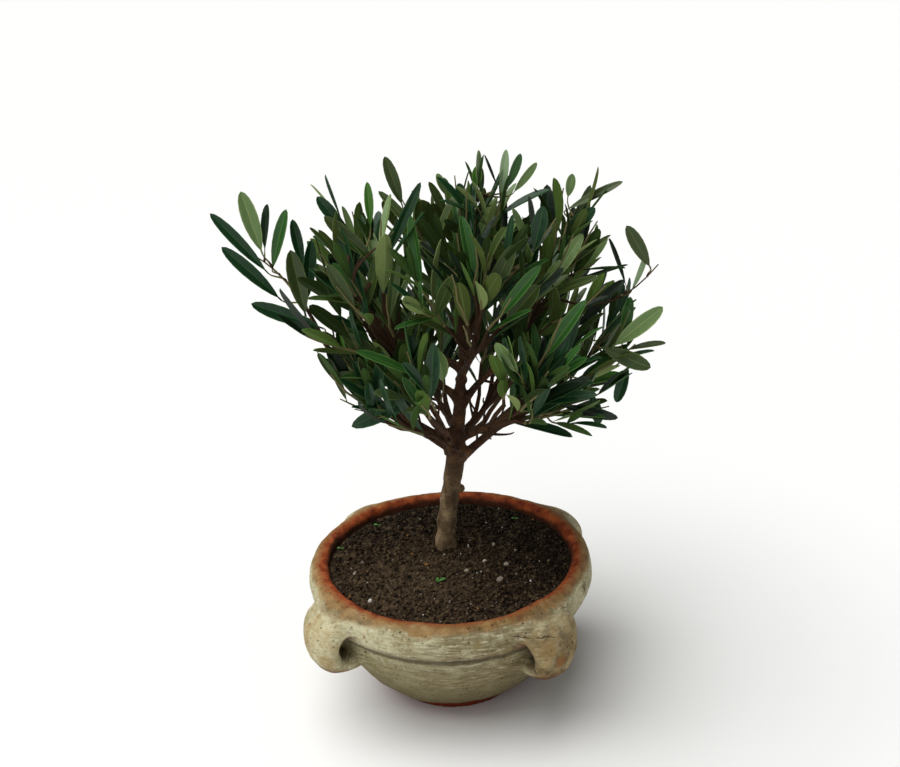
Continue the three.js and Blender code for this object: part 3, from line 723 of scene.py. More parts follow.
def outline_distance(outline, points):
    """Distance of flat points from a closed outline, below zero inside it."""
    outline = np.asarray(outline, float)
    nearest = np.full(len(points), np.inf)
    inside = np.zeros(len(points), bool)
    for start, end in zip(outline, np.roll(outline, -1, axis=0)):
        way = end - start
        share = np.clip((points - start) @ way / (way @ way), 0, 1)
        nearest = np.minimum(nearest, np.linalg.norm(points - start - share[:, None] * way, axis=1))
        if way[1]:
            crosses = (start[1] > points[:, 1]) != (end[1] > points[:, 1])
            inside ^= crosses & (points[:, 0] < start[0] + (points[:, 1] - start[1]) / way[1] * way[0])
    return np.where(inside, -nearest, nearest)


def blended(a, b, fillet):
    """The lesser of two distances, with a fillet where they meet."""
    meet = np.maximum(fillet - np.abs(a - b), 0) / fillet
    return np.minimum(a, b) - meet * meet * fillet / 4


def smooth_line(corners, steps):
    """Points on a curve that passes through corners."""
    corners = np.asarray(corners, float)
    ends = np.vstack([2 * corners[0] - corners[1], corners, 2 * corners[-1] - corners[-2]])
    line = []
    for a, b, c, d in zip(ends, ends[1:], ends[2:], ends[3:]):
        for s in np.linspace(0, 1, steps, endpoint=False):
            line.append(b + (c - a) * s / 2 + (2 * a - 5 * b + 4 * c - d) * s**2 / 2
                        + (3 * b - a - 3 * c + d) * s**3 / 2)
    return np.array(line + [corners[-1]])


def lug_distance(out, along, height):
    """Distance from a lug's skin, of points out from the axis, along the rim from its middle, and high."""
    corners = [(lerp((BELLY_RADIUS, LUG_REACH), o), lerp((LUG_FOOT, LUG_TOP), u)) for o, u in LUG_LINE]
    line = smooth_line(corners, 5)
    best = np.full(len(out), np.inf)
    share = np.zeros(len(out))
    for i, (x, z) in enumerate(line):
        away = np.hypot(out - x, height - z)
        nearer = away < best
        best[nearer] = away[nearer]
        share[nearer] = i / (len(line) - 1)
    flare = LUG_TOP_FLARE * (1 - share) ** LUG_TOP_FADE + LUG_FOOT_FLARE * share**LUG_FOOT_FADE
    thick = lerp(LUG_HALF_THICKNESS, share)
    return (np.hypot(best / thick, along / (LUG_HALF_WIDTH + flare)) - 1) * thick


def surface_net(field, low, step):
    """A mesh of four-sided faces on the zero level of a field that is sampled on a grid."""
    inside = field < 0
    corners = [(i, j, k) for i in (0, 1) for j in (0, 1) for k in (0, 1)]
    nx, ny, nz = (n - 1 for n in field.shape)
    count = sum(inside[i:i + nx, j:j + ny, k:k + nz].astype(np.int8) for i, j, k in corners)
    cells = np.argwhere((count > 0) & (count < 8))
    values = {c: field[tuple((cells + c).T)] for c in corners}
    total = np.zeros((len(cells), 3))
    crossings = np.zeros(len(cells))
    for a in corners:
        for axis in range(3):
            if a[axis]:
                continue
            b = tuple(1 if i == axis else n for i, n in enumerate(a))
            crossed = (values[a] < 0) != (values[b] < 0)
            share = values[a][crossed] / (values[a][crossed] - values[b][crossed])
            total[crossed] += np.array(a) + np.outer(share, np.eye(3)[axis])
            crossings[crossed] += 1
    points = (cells + total / crossings[:, None]) * step + low
    index = np.full((nx, ny, nz), -1)
    index[tuple(cells.T)] = np.arange(len(cells))
    faces = []
    for axis in range(3):
        side, up = (np.eye(3, dtype=int)[(axis + turn) % 3] for turn in (1, 2))
        ahead = np.roll(inside, -1, axis=axis)
        for starts in (True, False):
            edges = np.argwhere((inside == starts) & (ahead != starts))
            edges = edges[(edges[:, axis] < field.shape[axis] - 1)]
            ring = [edges - side - up, edges - up, edges, edges - side]
            quad = np.column_stack([index[tuple(corner.T)] for corner in ring])
            faces.append(quad if starts else quad[:, ::-1])
    return points, np.vstack(faces)


def make_bowl(material):
    """The bowl and its lugs as one skin of clay: thrown, joined by hand, and rubbed."""
    r, z = (np.arange(low, high, PROFILE_STEP) for low, high in zip(*PROFILE_BLOCK))
    flat = np.stack(np.meshgrid(r, z, indexing="ij"), -1).reshape(-1, 2)
    outside = [np.zeros(2), *bowl_outside(), np.array(LIP_EDGE), np.array([0.0, LIP_EDGE[1]])]
    above = BOWL_HEIGHT + MOUTH_ABOVE
    mouth = [np.array([0.0, above]), np.array([LIP_EDGE[0] + MOUTH_FLARE, above]), np.array(LIP_EDGE)]
    hollow = [*mouth, *bowl_inside(), np.array([0.0, FLOOR])]
    tables = [outline_distance(o, flat).reshape(len(r), len(z)) for o in (outside, hollow)]
    x, y, height = np.meshgrid(
        *(np.arange(low, high, CLAY_STEP) for low, high in zip(*CLAY_BLOCK)), indexing="ij")
    turn = np.arctan2(y, x)
    out = np.hypot(x, y)
    swell = sum(swollen * np.cos(count * turn + start) for count, swollen, start in OUT_OF_ROUND)
    r_at = np.clip((out - swell * out / BAND_RADIUS) / PROFILE_STEP, 0, len(r) - 2)
    z_at = np.clip((height - z[0]) / PROFILE_STEP, 0, len(z) - 2)
    i, j = r_at.astype(int), z_at.astype(int)
    u, v = r_at - i, z_at - j
    solid, empty = (
        (t[i, j] * (1 - u) + t[i + 1, j] * u) * (1 - v) + (t[i, j + 1] * (1 - u) + t[i + 1, j + 1] * u) * v
        for t in tables
    )
    quarter = math.pi / 2
    off = turn - np.round(turn / quarter) * quarter
    ahead, along = out * np.cos(off), out * np.sin(off)
    near = (out > LUG_BLOCK[0]) & (np.abs(along) < LUG_BLOCK[1]) & (height > LUG_BLOCK[2])
    lugs = np.full(out.shape, FAR)
    lugs[near] = lug_distance(ahead[near], along[near], height[near])
    clay = -blended(-blended(solid, lugs, LUG_FILLET), empty, RIM_ROUND)
    points, faces = surface_net(clay, np.array(CLAY_BLOCK[0]), CLAY_STEP)
    ways = normals(points, faces)
    away = np.hypot(points[:, 0], points[:, 1])
    tall = points[:, 2]
    dents = sum(depth * rough(points, size, seed) for seed, (depth, size) in enumerate(HAND_DENTS))
    thrown = (tall < BELLY_TOP) & (away < BELLY_RADIUS + 1)
    waver = RING_WAVER[0] * rough(points, RING_WAVER[1], 3)
    rings = RING_DEPTH * np.sin(tall / RING_RUN + waver) * thrown
    chips = CHIP_DEPTH * np.maximum(rough(points, CHIP_SIZE, 4) - CHIP_START, 0) * (tall > CHIP_FLOOR)
    points = points + ways * ((dents + rings - chips) * fade(RELIEF_START, tall))[:, None]
    points[:, 2] = np.maximum(points[:, 2], 0)
    lug_names = [f"lug_{n}" for n in range(1, 5)]
    piece("bowl_and_lugs", points, faces, [material], ["bowl", *lug_names])


# Soil


def soil_top(points):
    """Height of the soil, with the lumps that the solids have."""
    x, y = points[:, 0], points[:, 1]
    out = np.hypot(x, y)
    drop = SOIL_EDGE_DROP * fade((SOIL_FLAT_RADIUS, SOIL_RADIUS), out)
    clear = fade(LUMP_CLEAR, np.hypot(x - TREE_FOOT[0], y - TREE_FOOT[1]))
    shown = clear**2 * (3 - 2 * clear) * fade((SOIL_RADIUS, SOIL_RADIUS - LUMP_EDGE), out)
    waves = sum(np.sin(along_x * x + along_y * y + phase) for along_x, along_y, phase in LUMP_WAVES)
    return SOIL_TOP - drop + LUMP_HEIGHT * shown * waves


def soil_grain(points):
    grains = (height * np.abs(rough(points, size, seed)) for seed, (size, height) in enumerate(SOIL_GRAIN, 6))
    return sum(grains) - SOIL_GRAIN_SINK


def make_soil_bed(material):
    """The body of soil in the bowl, with a crumbly top."""
    under = np.array(SOIL_UNDERSIDE)
    radii = np.concatenate([np.linspace(SOIL_HUB, SOIL_RADIUS, SOIL_RINGS), under[:, 0]])
    heights = np.concatenate([np.zeros(SOIL_RINGS), under[:, 1]])
    angle = np.linspace(0, 2 * math.pi, SOIL_TURNS, endpoint=False)
    points = np.vstack([
        np.column_stack([r * np.cos(angle), r * np.sin(angle), np.full(SOIL_TURNS, h)])
        for r, h in zip(radii, heights)])
    top = SOIL_RINGS * SOIL_TURNS
    points[:top, 2] = soil_top(points[:top]) + soil_grain(points[:top])
    ring, step = np.meshgrid(np.arange(len(radii) - 1), np.arange(SOIL_TURNS), indexing="ij")
    a = (ring * SOIL_TURNS + step).ravel()
    b = (ring * SOIL_TURNS + (step + 1) % SOIL_TURNS).ravel()
    faces = np.column_stack([a, a + SOIL_TURNS, b + SOIL_TURNS, b]).tolist()
    faces.append(list(range(SOIL_TURNS)))
    faces.append(list(range(len(points) - 1, len(points) - SOIL_TURNS - 1, -1)))
    piece("soil_bed", points, faces, [material], ["soil"])


def make_soil_litter(crumb_kinds, grit, dry, green):
    """What lies on the bed: crumbs, grit, pebbles, straw, seedlings and a fallen leaf."""
    random = np.random.default_rng(5)
    lump = np.array([
        (0, 0, 1),
        *((x, y, 0.45) for x, y in LUMP_RING),
        *((x, y, -0.45) for x, y in np.negative(LUMP_RING)[[3, 4, 0, 1, 2]]),
        (0, 0, -1)])
    sides = []
    for i in range(5):
        n = (i + 1) % 5
        sides += [[0, 1 + i, 1 + n], [1 + i, 6 + i, 1 + n], [1 + n, 6 + i, 6 + n], [11, 6 + n, 6 + i]]

    def scatter(name, places, sizes, finishes, sink):
        """Small lumps at places, sunk into the soil by a share of their sizes."""
        heap = Heap()
        middles = np.column_stack([places, np.zeros(len(places))])
        middles[:, 2] = soil_top(middles) + soil_grain(middles) + sizes * sink
        for middle, size in zip(middles, sizes):
            spin = Matrix.Rotation(random.random() * 2 * math.pi, 3, Vector(random.normal(size=3)))
            stretch = size / 2 * random.uniform(*CRUMB_STRETCH, 3)
            shape = lump * stretch * random.uniform(*CRUMB_CORNERS, (12, 1))
            kind = int(random.integers(len(finishes)))
            heap.put(shape @ np.array(spin).T + middle, sides, [kind] * len(sides))
        heap.make(name, finishes, "soil", "soil", sharp=50)

    def scatter_anywhere(name, count, least, more, small, finishes, sink):
        """Lumps all over the bed, from the least size to more than it, and more of them small."""
        out = (SOIL_RADIUS - SOIL_MARGIN) * np.sqrt(random.random(count))
        turn = random.random(count) * 2 * math.pi
        places = np.column_stack([out * np.cos(turn), out * np.sin(turn)])
        scatter(name, places, least + more * random.random(count) ** small, finishes, sink)

    scatter_anywhere("soil_crumbs", 5200, 1.0, 3.2, 2.5, crumb_kinds, sink=0.15)
    scatter_anywhere("soil_grit", 150, 0.7, 1.6, 3, grit, sink=0.3)
    pebbles = np.array(PEBBLES)
    scatter("soil_pebbles", pebbles[:, :2], pebbles[:, 2], grit, sink=0.15)
    scatter_anywhere("soil_straw", 12, 1.2, 1.6, 1, [dry], sink=0.35)

    heap = Heap()
    for (x, y), leaflets, length, dried in SEEDLINGS:
        root = np.array([[x, y, 0.0]])
        root[0, 2] = soil_top(root)[0] + SEEDLING_STALK
        for i in range(leaflets):
            turn = 360 * i / leaflets + LEAFLET_TURN * random.random()
            way = direction(turn, lerp(LEAFLET_RISE, random.random()))
            size = length * random.uniform(*LEAFLET_SIZES)
            points = leaf_points(root[0], way, UP, size, size * LEAFLET_WIDTH, *LEAFLET_SHAPE)
            heap.put(points, LEAF_FACES, [dried] * len(LEAF_FACES))
    heap.make("soil_seedlings", [green, dry], "soil", "soil", sharp=50)


# Tree


FORK = np.array([TRUNK_LEAN, 0.0, TRUNK_HEIGHT])
TRUNK_CORNERS = (
    (0, 0, 0),
    (0, 0, TRUNK_HEIGHT * TRUNK_BEND[0]),
    (TRUNK_LEAN * TRUNK_BEND[1], 0, TRUNK_HEIGHT * TRUNK_BEND[1]),
    FORK,
)


def crown_masses():
    """The centre, the heading and the size of the space of each mass of foliage, seen from the fork."""
    masses = []

    def put(name, turn, rise, distance, spread):
        heading = direction(turn, rise)
        centre = FORK + heading * distance
        masses.append(SimpleNamespace(name=name, heading=heading, centre=centre, spread=spread))

    put("top", **TOP)
    for ring in RINGS:
        for i in range(ring["count"]):
            turn = ring["start"] + 360 * i / ring["count"]
            rise = ring["rise"] + ring["front_lift"] * max(0, -math.sin(math.radians(turn)))
            size = 1 + ring["reach_right"] * math.cos(math.radians(turn))
            put(f"{ring['name']}_{i + 1}", turn, rise, ring["distance"] * size, ring["spread"] * size)
    put("spray", **SPRAY)
    masses[-1].heading = direction(SPRAY["turn"], SPRAY_STEM_RISE)
    for mass in masses:
        back = min(mass.spread - SPACE_MARGIN, np.linalg.norm(mass.centre - FORK) - BARE_LENGTH)
        for other in masses:
            apart = other.centre - mass.centre
            slope = -apart @ mass.heading
            if slope > 1e-9:
                back = min(back, apart @ apart / 2 / slope - SPACE_MARGIN)
        mass.root = mass.centre - mass.heading * back
    return masses


MASSES = crown_masses()


def grow_limbs():
    """The line of each limb, as corners of a curve, and its radius at its start."""
    limbs = {}

    def put(name, start, mass_name, radius):
        mass = next(m for m in MASSES if m.name == mass_name)
        across = mass.root - start
        arrive = mass.root - mass.heading * np.linalg.norm(across) * LIMB_ARRIVAL
        limbs[name] = SimpleNamespace(
            corners=(start, start + across * LIMB_RISE, arrive, mass.root), radius=radius, mass=mass)

    put("leader", FORK, "top", LEADER_RADIUS)
    leader = limbs["leader"].corners
    length = run(cubic(leader, np.linspace(0, 1, 40)))[-1]
    lower, upper = (ring["count"] for ring in RINGS)
    for i in range(lower):
        height = lerp(BOUGH_SPAN, (i * BOUGH_SKIP) % lower / (lower - 1))
        if height < 0:
            start = cubic(TRUNK_CORNERS, 1 + height / TRUNK_HEIGHT)[0]
        else:
            start = cubic(leader, height / length)[0]
        put(f"bough_{i + 1}", start, f"lower_{i + 1}", BOUGH_RADIUS)
    for i in range(upper):
        share = lerp(LIMB_SPAN, (i * LIMB_SKIP) % upper / (upper - 1))
        put(f"limb_upper_{i + 1}", cubic(leader, share)[0], f"upper_{i + 1}", LIMB_RADIUS)
    put("limb_spray", cubic(limbs[f"bough_{SPRAY_BOUGH}"].corners, SPRAY_SHARE)[0], "spray", LIMB_RADIUS)
    return limbs


LIMBS = grow_limbs()


def tube(path, radii, sides):
    """Points and faces of a round bar along a path."""
    path = np.asarray(path, float)
    ways = np.gradient(path, axis=0)
    side = unit(np.cross(ways[0], UP if abs(unit(ways[0])[2]) < 0.95 else RIGHT))
    points = []
    angle = np.linspace(0, 2 * math.pi, sides, endpoint=False)
    for place, way, radius in zip(path, ways, radii):
        way = unit(way)
        side = unit(side - way * (side @ way))
        other = np.cross(way, side)
        points.append(place + radius * (np.outer(np.cos(angle), side) + np.outer(np.sin(angle), other)))
    faces = []
    for i in range(len(path) - 1):
        for j in range(sides):
            n = (j + 1) % sides
            faces.append([i * sides + j, i * sides + n, (i + 1) * sides + n, (i + 1) * sides + j])
    faces.append(list(range(sides))[::-1])
    faces.append(list(range((len(path) - 1) * sides, len(path) * sides)))
    return np.vstack(points), faces


def trunk_radius(share):
    flare = FLARE * np.exp(-share * FLARE_FADE)
    return TRUNK_RADIUS - TRUNK_TAPER * share + flare + FORK_SWELL * share**FORK_FADE


def limb_line(limb):
    """Points along a limb, which wanders a little."""
    return wandering(cubic(limb.corners, np.linspace(0, 1, LIMB_STEPS)), LIMB_WANDER, 20)


def make_bark(material):
    """Trunk, leader, boughs and limbs as one skin of bark, swollen where they fork."""
    heap = Heap()

    def put(path, radii, sides=16):
        points, faces = tube(path, radii, sides)
        heap.put(to_part(points), faces, [0] * len(faces))

    share = np.linspace(0, 1, 60)
    line = cubic(TRUNK_CORNERS, share)
    nodes = sum(swell * np.exp(-(((share - at) / NODE_LENGTH) ** 2)) for at, swell in TRUNK_NODES)
    radii = np.append(trunk_radius(0) + ROOT_SWELL, trunk_radius(share) + nodes)
    put(np.vstack([[0, 0, -ROOT_DEPTH], line]), radii, 24)
    knot = cubic(TRUNK_CORNERS, KNOT_HEIGHT / TRUNK_HEIGHT)[0]
    along = np.linspace(0, 1, 6)
    radii = KNOT_RADIUS * (KNOT_TAPER[0] - KNOT_TAPER[1] * along**2)
    put(knot + np.outer(along, KNOT_WAY) * KNOT_LENGTH, radii)
    for limb in LIMBS.values():
        line = limb_line(limb)
        share = np.linspace(0, 1, len(line))
        radii = limb.radius + (LIMB_TIP_RADIUS - limb.radius) * share**LIMB_TAPER
        put(line, radii * (1 + LIMB_COLLAR[0] * np.exp(-share * LIMB_COLLAR[1])))
    mesh = bpy.data.meshes.new("bark_tubes")
    mesh.from_pydata((np.vstack(heap.points) * MM).tolist(), [], heap.faces)
    tubes = bpy.data.objects.new("bark_tubes", mesh)
    bpy.context.scene.collection.objects.link(tubes)
    skin = tubes.modifiers.new("skin", "REMESH")
    skin.mode = "VOXEL"
    skin.voxel_size = BARK_STEP * MM
    rubbed = tubes.modifiers.new("rubbed", "SMOOTH")
    rubbed.factor, rubbed.iterations = BARK_RUB
    shaped = bpy.data.meshes.new_from_object(tubes.evaluated_get(bpy.context.evaluated_depsgraph_get()))
    bpy.data.objects.remove(tubes)
    points = np.zeros(len(shaped.vertices) * 3)
    shaped.vertices.foreach_get("co", points)
    points = points.reshape(-1, 3) / MM
    faces = [list(face.vertices) for face in shaped.polygons]
    ways = normals(points, np.array([face if len(face) == 4 else [*face, face[0]] for face in faces]))
    fork = SOIL_TOP + TRUNK_HEIGHT
    on_trunk = np.maximum(fade((fork + BARK_FADE[0], fork + BARK_FADE[1]), points[:, 2]), BOUGH_RELIEF)
    swollen = sum(depth * rough(points, size, seed) for seed, (depth, size) in enumerate(BARK_SWELLINGS, 8))
    cracked = sum(
        depth * np.maximum(rough(points, size, seed), 0)
        for seed, (depth, size) in enumerate(BARK_CRACKS, 10))
    points = points + ways * ((swollen - cracked) * on_trunk)[:, None]
    piece("bark", points, faces, [material], ["trunk", *LIMBS])


# Leaves


LEAF_ALONG = np.array([0, 0.07, 0.16, 0.3, 0.45, 0.6, 0.75, 0.88, 0.96, 1.0])
LEAF_ACROSS = np.array([-1, -0.87, -0.45, -0.06, 0.06, 0.45, 0.87, 1.0])
LEAF_STALK = LEAF_ALONG[1]
LEAF_LEAST = (0.12, 0.11, 0, 0, 0, 0, 0, 0, 0, 0.03)  # of the half width, at the stalk and the tip
BLADE = fade((LEAF_STALK, 1), LEAF_ALONG)
LEAF_OUTLINE = BLADE**0.72 * (1 - BLADE) ** 0.54
LEAF_OUTLINE = np.maximum(LEAF_OUTLINE / LEAF_OUTLINE.max(), LEAF_LEAST)
ROWS, COLUMNS = len(LEAF_ALONG), len(LEAF_ACROSS)


def leaf_faces():
    """Faces of one leaf and the finish of each: 0 upper side, 1 under side, 2 midrib, 3 edge."""
    faces, finishes = [], []
    size = ROWS * COLUMNS
    for i in range(ROWS - 1):
        for j in range(COLUMNS - 1):
            a = i * COLUMNS + j
            top = [a, a + 1, a + COLUMNS + 1, a + COLUMNS]
            rib = j == COLUMNS // 2 - 1 and i < ROWS - 2
            edge = j in (0, COLUMNS - 2)
            faces += [top, [corner + size for corner in top[::-1]]]
            finishes += [2 if rib else 3 if edge else 0, 2 if rib else 1]
        for a, b in ((i * COLUMNS, (i + 1) * COLUMNS), ((i + 2) * COLUMNS - 1, (i + 1) * COLUMNS - 1)):
            faces.append([a, b, b + size, a + size])
            finishes.append(3)
    for j in range(COLUMNS - 1):
        end = (ROWS - 1) * COLUMNS + j
        faces += [[j, j + size, j + 1 + size, j + 1], [end, end + 1, end + 1 + size, end + size]]
        finishes += [3, 3]
    return faces, finishes


LEAF_FACES, LEAF_FINISHES = leaf_faces()


def leaf_points(root, way, face, length, width, fold, bend, twist):
    """A leaf from its root: folded a little along its midrib, bent back along its length, and twisted."""
    across = unit(np.cross(way, face))
    upper = np.cross(across, way)
    t = LEAF_ALONG[:, None]
    a = LEAF_ACROSS[None, :]
    half = LEAF_OUTLINE[:, None] * width / 2
    side = half * a * math.cos(fold)
    lift = half * (np.abs(a) * math.sin(fold) - LEAF_CUP * a**2)
    turn = twist * t
    side, lift = side * np.cos(turn) - lift * np.sin(turn), side * np.sin(turn) + lift * np.cos(turn)
    angle = bend * t
    forward = length * np.where(abs(bend) > 1e-3, np.sin(angle) / bend, t)
    drop = length * np.where(abs(bend) > 1e-3, (1 - np.cos(angle)) / bend, 0)
    forward = forward + lift * np.sin(angle)
    lift = lift * np.cos(angle) - drop
    grid = forward[..., None] * way + side[..., None] * across + lift[..., None] * upper
    top = root + grid.reshape(-1, 3)
    thin = LEAF_THICKNESS * (0.5 + 0.5 * np.repeat(LEAF_OUTLINE, COLUMNS))[:, None]
    return np.vstack([top, top - upper * thin])


def leaf_floor(points):
    """Height under which no leaf hangs."""
    x, y = points[:, 0] - FORK[0], points[:, 1]
    slope, bend, steeper = LEFT_RISE
    floor = CROWN_FLOOR - slope * np.minimum(x, 0) + steeper * np.maximum(-x - bend, 0)
    floor = np.minimum(floor, LEFT_MOST) + FRONT_RISE * np.maximum(-y, 0) + BACK_RISE * np.maximum(y, 0)
    arch = 1 - ((x - WINDOW_MIDDLE) / WINDOW_HALF_WIDTH) ** 2
    window = np.where(y < WINDOW_BACK, *WINDOW_HEIGHT) * arch
    return FORK[2] + np.maximum(floor, window - WINDOW_SLOPE * y)


def keeps_to_space(points, mass, room):
    """True if points lie in a share of the crown's reach, not far into other masses, and over the floor."""
    x, y, z = (np.abs(points - CROWN_MIDDLE) / CROWN_REACH).T
    above = np.where(points[:, 2] > CROWN_MIDDLE[2], z, 0)
    out = (x**2 + y**2) ** (CROWN_CORNER / 2) + above**CROWN_CORNER
    if (out > room**CROWN_CORNER).any() or (points[:, 2] < leaf_floor(points)).any():
        return False
    own = np.linalg.norm(points - mass.centre, axis=1)
    for other in MASSES:
        overlap = 0 if other.name == "spray" else OVERLAP
        if other is not mass and (np.linalg.norm(points - other.centre, axis=1) < own - overlap).any():
            return False
    return True


def leaning(way, lean, turn):
    """A direction that leans from a way by an angle, at a turn round it."""
    level = unit(np.cross(way, RIGHT if abs(way[2]) > 0.95 else UP))
    steep = np.cross(level, way)
    return way * math.cos(lean) + (level * math.cos(turn) + steep * math.sin(turn)) * math.sin(lean)


class Foliage:
    """The twigs and leaves of one mass, in two heaps, grown on from its limb by a seeded rule."""

    def __init__(self, mass, limb):
        self.mass = mass
        self.random = np.random.default_rng(LEAF_SEEDS[mass.name])
        self.leaves, self.twigs = Heap(), Heap()
        self.grow_stem(limb)
        self.place_leaves()
        self.grow_shoots()
        self.grow_bare_twigs()

    def around(self, middle, spread):
        """Any value within a spread of the middle."""
        return middle + self.random.uniform(-spread, spread)

    def between(self, ends):
        """Any value between two ends."""
        return lerp(ends, self.random.random())

    def any_turn(self):
        return self.random.uniform(0, 2 * math.pi)

    def some_tint(self):
        return int(self.random.choice(len(TINTS), p=TINT_SHARES))

    def lay_twig(self, line, radius, woody):
        """A twig along a line, woody for a share of it."""
        points, faces = tube(line, np.linspace(radius, TWIG_TIP_RADIUS, len(line)), TWIG_SIDES)
        rings = len(line) - 1
        kinds = [0 if face // TWIG_SIDES < woody * rings else 1 for face in range(rings * TWIG_SIDES)]
        self.twigs.put(to_part(points), faces, kinds + [0, 1])

    def shape_leaf(self, root, way, face, length, width, shape):
        fold, bend, twist = (self.around(*varied) for varied in shape)
        return leaf_points(root, way, face, length, width, math.radians(fold), bend, twist)

    def lay_leaf(self, points, tint):
        self.leaves.put(to_part(points), LEAF_FACES, [tint * 4 + finish for finish in LEAF_FINISHES])

    def find_shoot(self, branch, along, start, way, length, room):
        """The line of a shoot that branches off early and bends up to the light, or None for lack of room."""
        rising = unit(way + self.mass.heading * SHOOT_FOLLOW + UP * SHOOT_LIFT)
        for part in SHOOT_TRIES:
            end = start + (way + rising) * (length * part) / 2
            pull = np.linalg.norm(end - branch) / 3
            corners = (branch, branch + along * pull, end - rising * pull, end)
            line = wandering(cubic(corners, np.linspace(0, 1, SHOOT_STEPS)), TWIG_WANDER, 30)
            leafy = line[SHOOT_STEPS // 2:]
            if keeps_to_space(leafy, self.mass, room):
                return line
        return None

    def add_leaf(self, root, way, lean, turn, size, tint, room):
        """A leaf that leans from its twig as far as there is room, or none."""
        for share in LEAF_TRIES:
            heading = unit(leaning(way, lean * share, turn) + UP * LEAF_LIFT)
            length = LEAF_LENGTH * size * lerp(LEAF_SHORTENED, share)
            width = LEAF_WIDTH * size * self.around(1, LEAF_WIDTH_SPREAD)
            face = unit(way + UP * FACE_UP + unit(self.random.normal(size=3)) * FACE_SPREAD)
            points = self.shape_leaf(root, heading, face, length, width, LEAF_SHAPE)
            if keeps_to_space(points[::3], self.mass, room):
                self.lay_leaf(points, tint if self.random.random() < SAME_TINT else self.some_tint())
                return

    def add_leaves(self, line, first, tint, room, spacing):
        """Pairs of leaves along a twig, each a quarter turn from the last, smaller and closer at its tip."""
        length = run(line)[-1]
        places = np.arange(first, length - LAST_LEAVES, spacing * self.around(1, SPACING_SPREAD))
        places = np.append(places, length - TIP_INSET)
        turn = self.random.uniform(0, math.pi)
        for i, place in enumerate(places):
            root, way = on_line(line, place)
            left = min(len(places) - 1 - i, len(TIP_SIZES) - 1)
            turn += math.pi / 2 + self.around(0, PAIR_TURN_SPREAD)
            for half in (0, math.pi):
                lean = math.radians(self.around(TIP_ANGLES[left] * LEAF_ANGLE, LEAF_ANGLE_SPREAD))
                size = TIP_SIZES[left] * self.around(1, LEAF_SIZE_SPREAD)
                self.add_leaf(root, way, lean, turn + half, size, tint, room)

    def grow_stem(self, limb):
        """The stem that carries the limb on into the mass. Limb and stem together are the spine."""
        mass = self.mass
        tip = mass.centre + mass.heading * mass.spread * STEM_REACH
        bends = (mass.root * 2 / 3 + tip / 3, mass.root / 3 + tip * 2 / 3, tip)
        is_spray = mass.name == "spray"
        stem = cubic((mass.root, *(SPRAY_STEM if is_spray else bends)), np.linspace(0, 1, STEM_STEPS))
        self.lay_twig(stem, STEM_RADIUS, woody=0.5)
        self.spine = np.vstack([limb_line(limb)[:-1], stem])
        passed = run(self.spine)
        self.limb_length = passed[-STEM_STEPS]
        self.stem_length = passed[-1] - self.limb_length
        if not is_spray:
            first = self.stem_length * STEM_BARE
            self.add_leaves(stem, first, self.some_tint(), 1, LEAF_SPACING * STEM_SPACING)

    def place_leaves(self):
        """The leaves that stand out from the crown, each on a twig from the nearest wood."""
        wood = [self.spine]
        for start, end in LONG_TWIGS.get(self.mass.name, ()):
            start, end = np.array(start, float), np.array(end, float)
            nearest = self.spine[np.argmin(np.linalg.norm(self.spine - start, axis=1))]
            sag = start + (end - nearest) / 3 - UP * np.linalg.norm(end - start) * LONG_TWIG_SAG
            wood.append(cubic((nearest, start, sag, end), np.linspace(0, 1, STEM_STEPS)))
            self.lay_twig(wood[-1], SHOOT_RADIUS, woody=1)
        wood = np.vstack(wood)
        for root, tip, width, tint, turn in PLACED_LEAVES.get(self.mass.name, ()):
            root, turn = np.array(root, float), math.radians(turn)
            way = unit(tip - root)
            nearest = wood[np.argmin(np.linalg.norm(wood - root + way * TWIG_LEAD, axis=1))]
            pull = np.linalg.norm(root - nearest) / 3
            line = cubic((nearest, nearest + UP * pull, root - way * pull, root), np.linspace(0, 1, 8))
            self.lay_twig(line, PLACED_TWIG_RADIUS, woody=0.3)
            face = unit(VIEW_WAY - way * (VIEW_WAY @ way))
            face = face * math.cos(turn) + np.cross(way, face) * math.sin(turn)
            length = np.linalg.norm(tip - root)
            self.lay_leaf(self.shape_leaf(root, way, face, length, width, PLACED_SHAPE), tint)

    def grow_shoots(self):
        """Leafy shoots round the stem, some of them with a side twig."""
        phase = self.any_turn()
        shoots = SHOOT_COUNTS.get(self.mass.name, SHOOTS)
        for i in range(shoots):
            room = self.between(ROOM)
            place = self.limb_length + self.stem_length * lerp(SHOOT_SPAN, i / (shoots - 1))
            start, along = on_line(self.spine, place)
            back = place - BRANCH_BACK * self.around(1, BRANCH_SPREAD)
            branch, before = on_line(self.spine, max(back, self.limb_length * LIMB_BARE))
            turn = phase + math.radians(i * GOLDEN_TURN) + self.around(0, SHOOT_TURN_SPREAD)
            lean = math.radians(self.around(lerp(SHOOT_LEAN, i / (shoots - 1)), SHOOT_LEAN_SPREAD))
            length = self.between(SHOOT_LENGTH) * self.mass.spread / SHOOT_LENGTH_SPACE
            shoot = self.find_shoot(branch, before, start, leaning(along, lean, turn), length, room)
            if shoot is None:
                continue
            self.lay_twig(shoot, BRANCH_RADIUS, woody=0.5)
            tint = self.some_tint()
            self.add_leaves(shoot, np.linalg.norm(start - branch), tint, room, LEAF_SPACING)
            if i % SIDE_TWIG_EVERY == 0:
                self.grow_side_twig(shoot, tint, room)

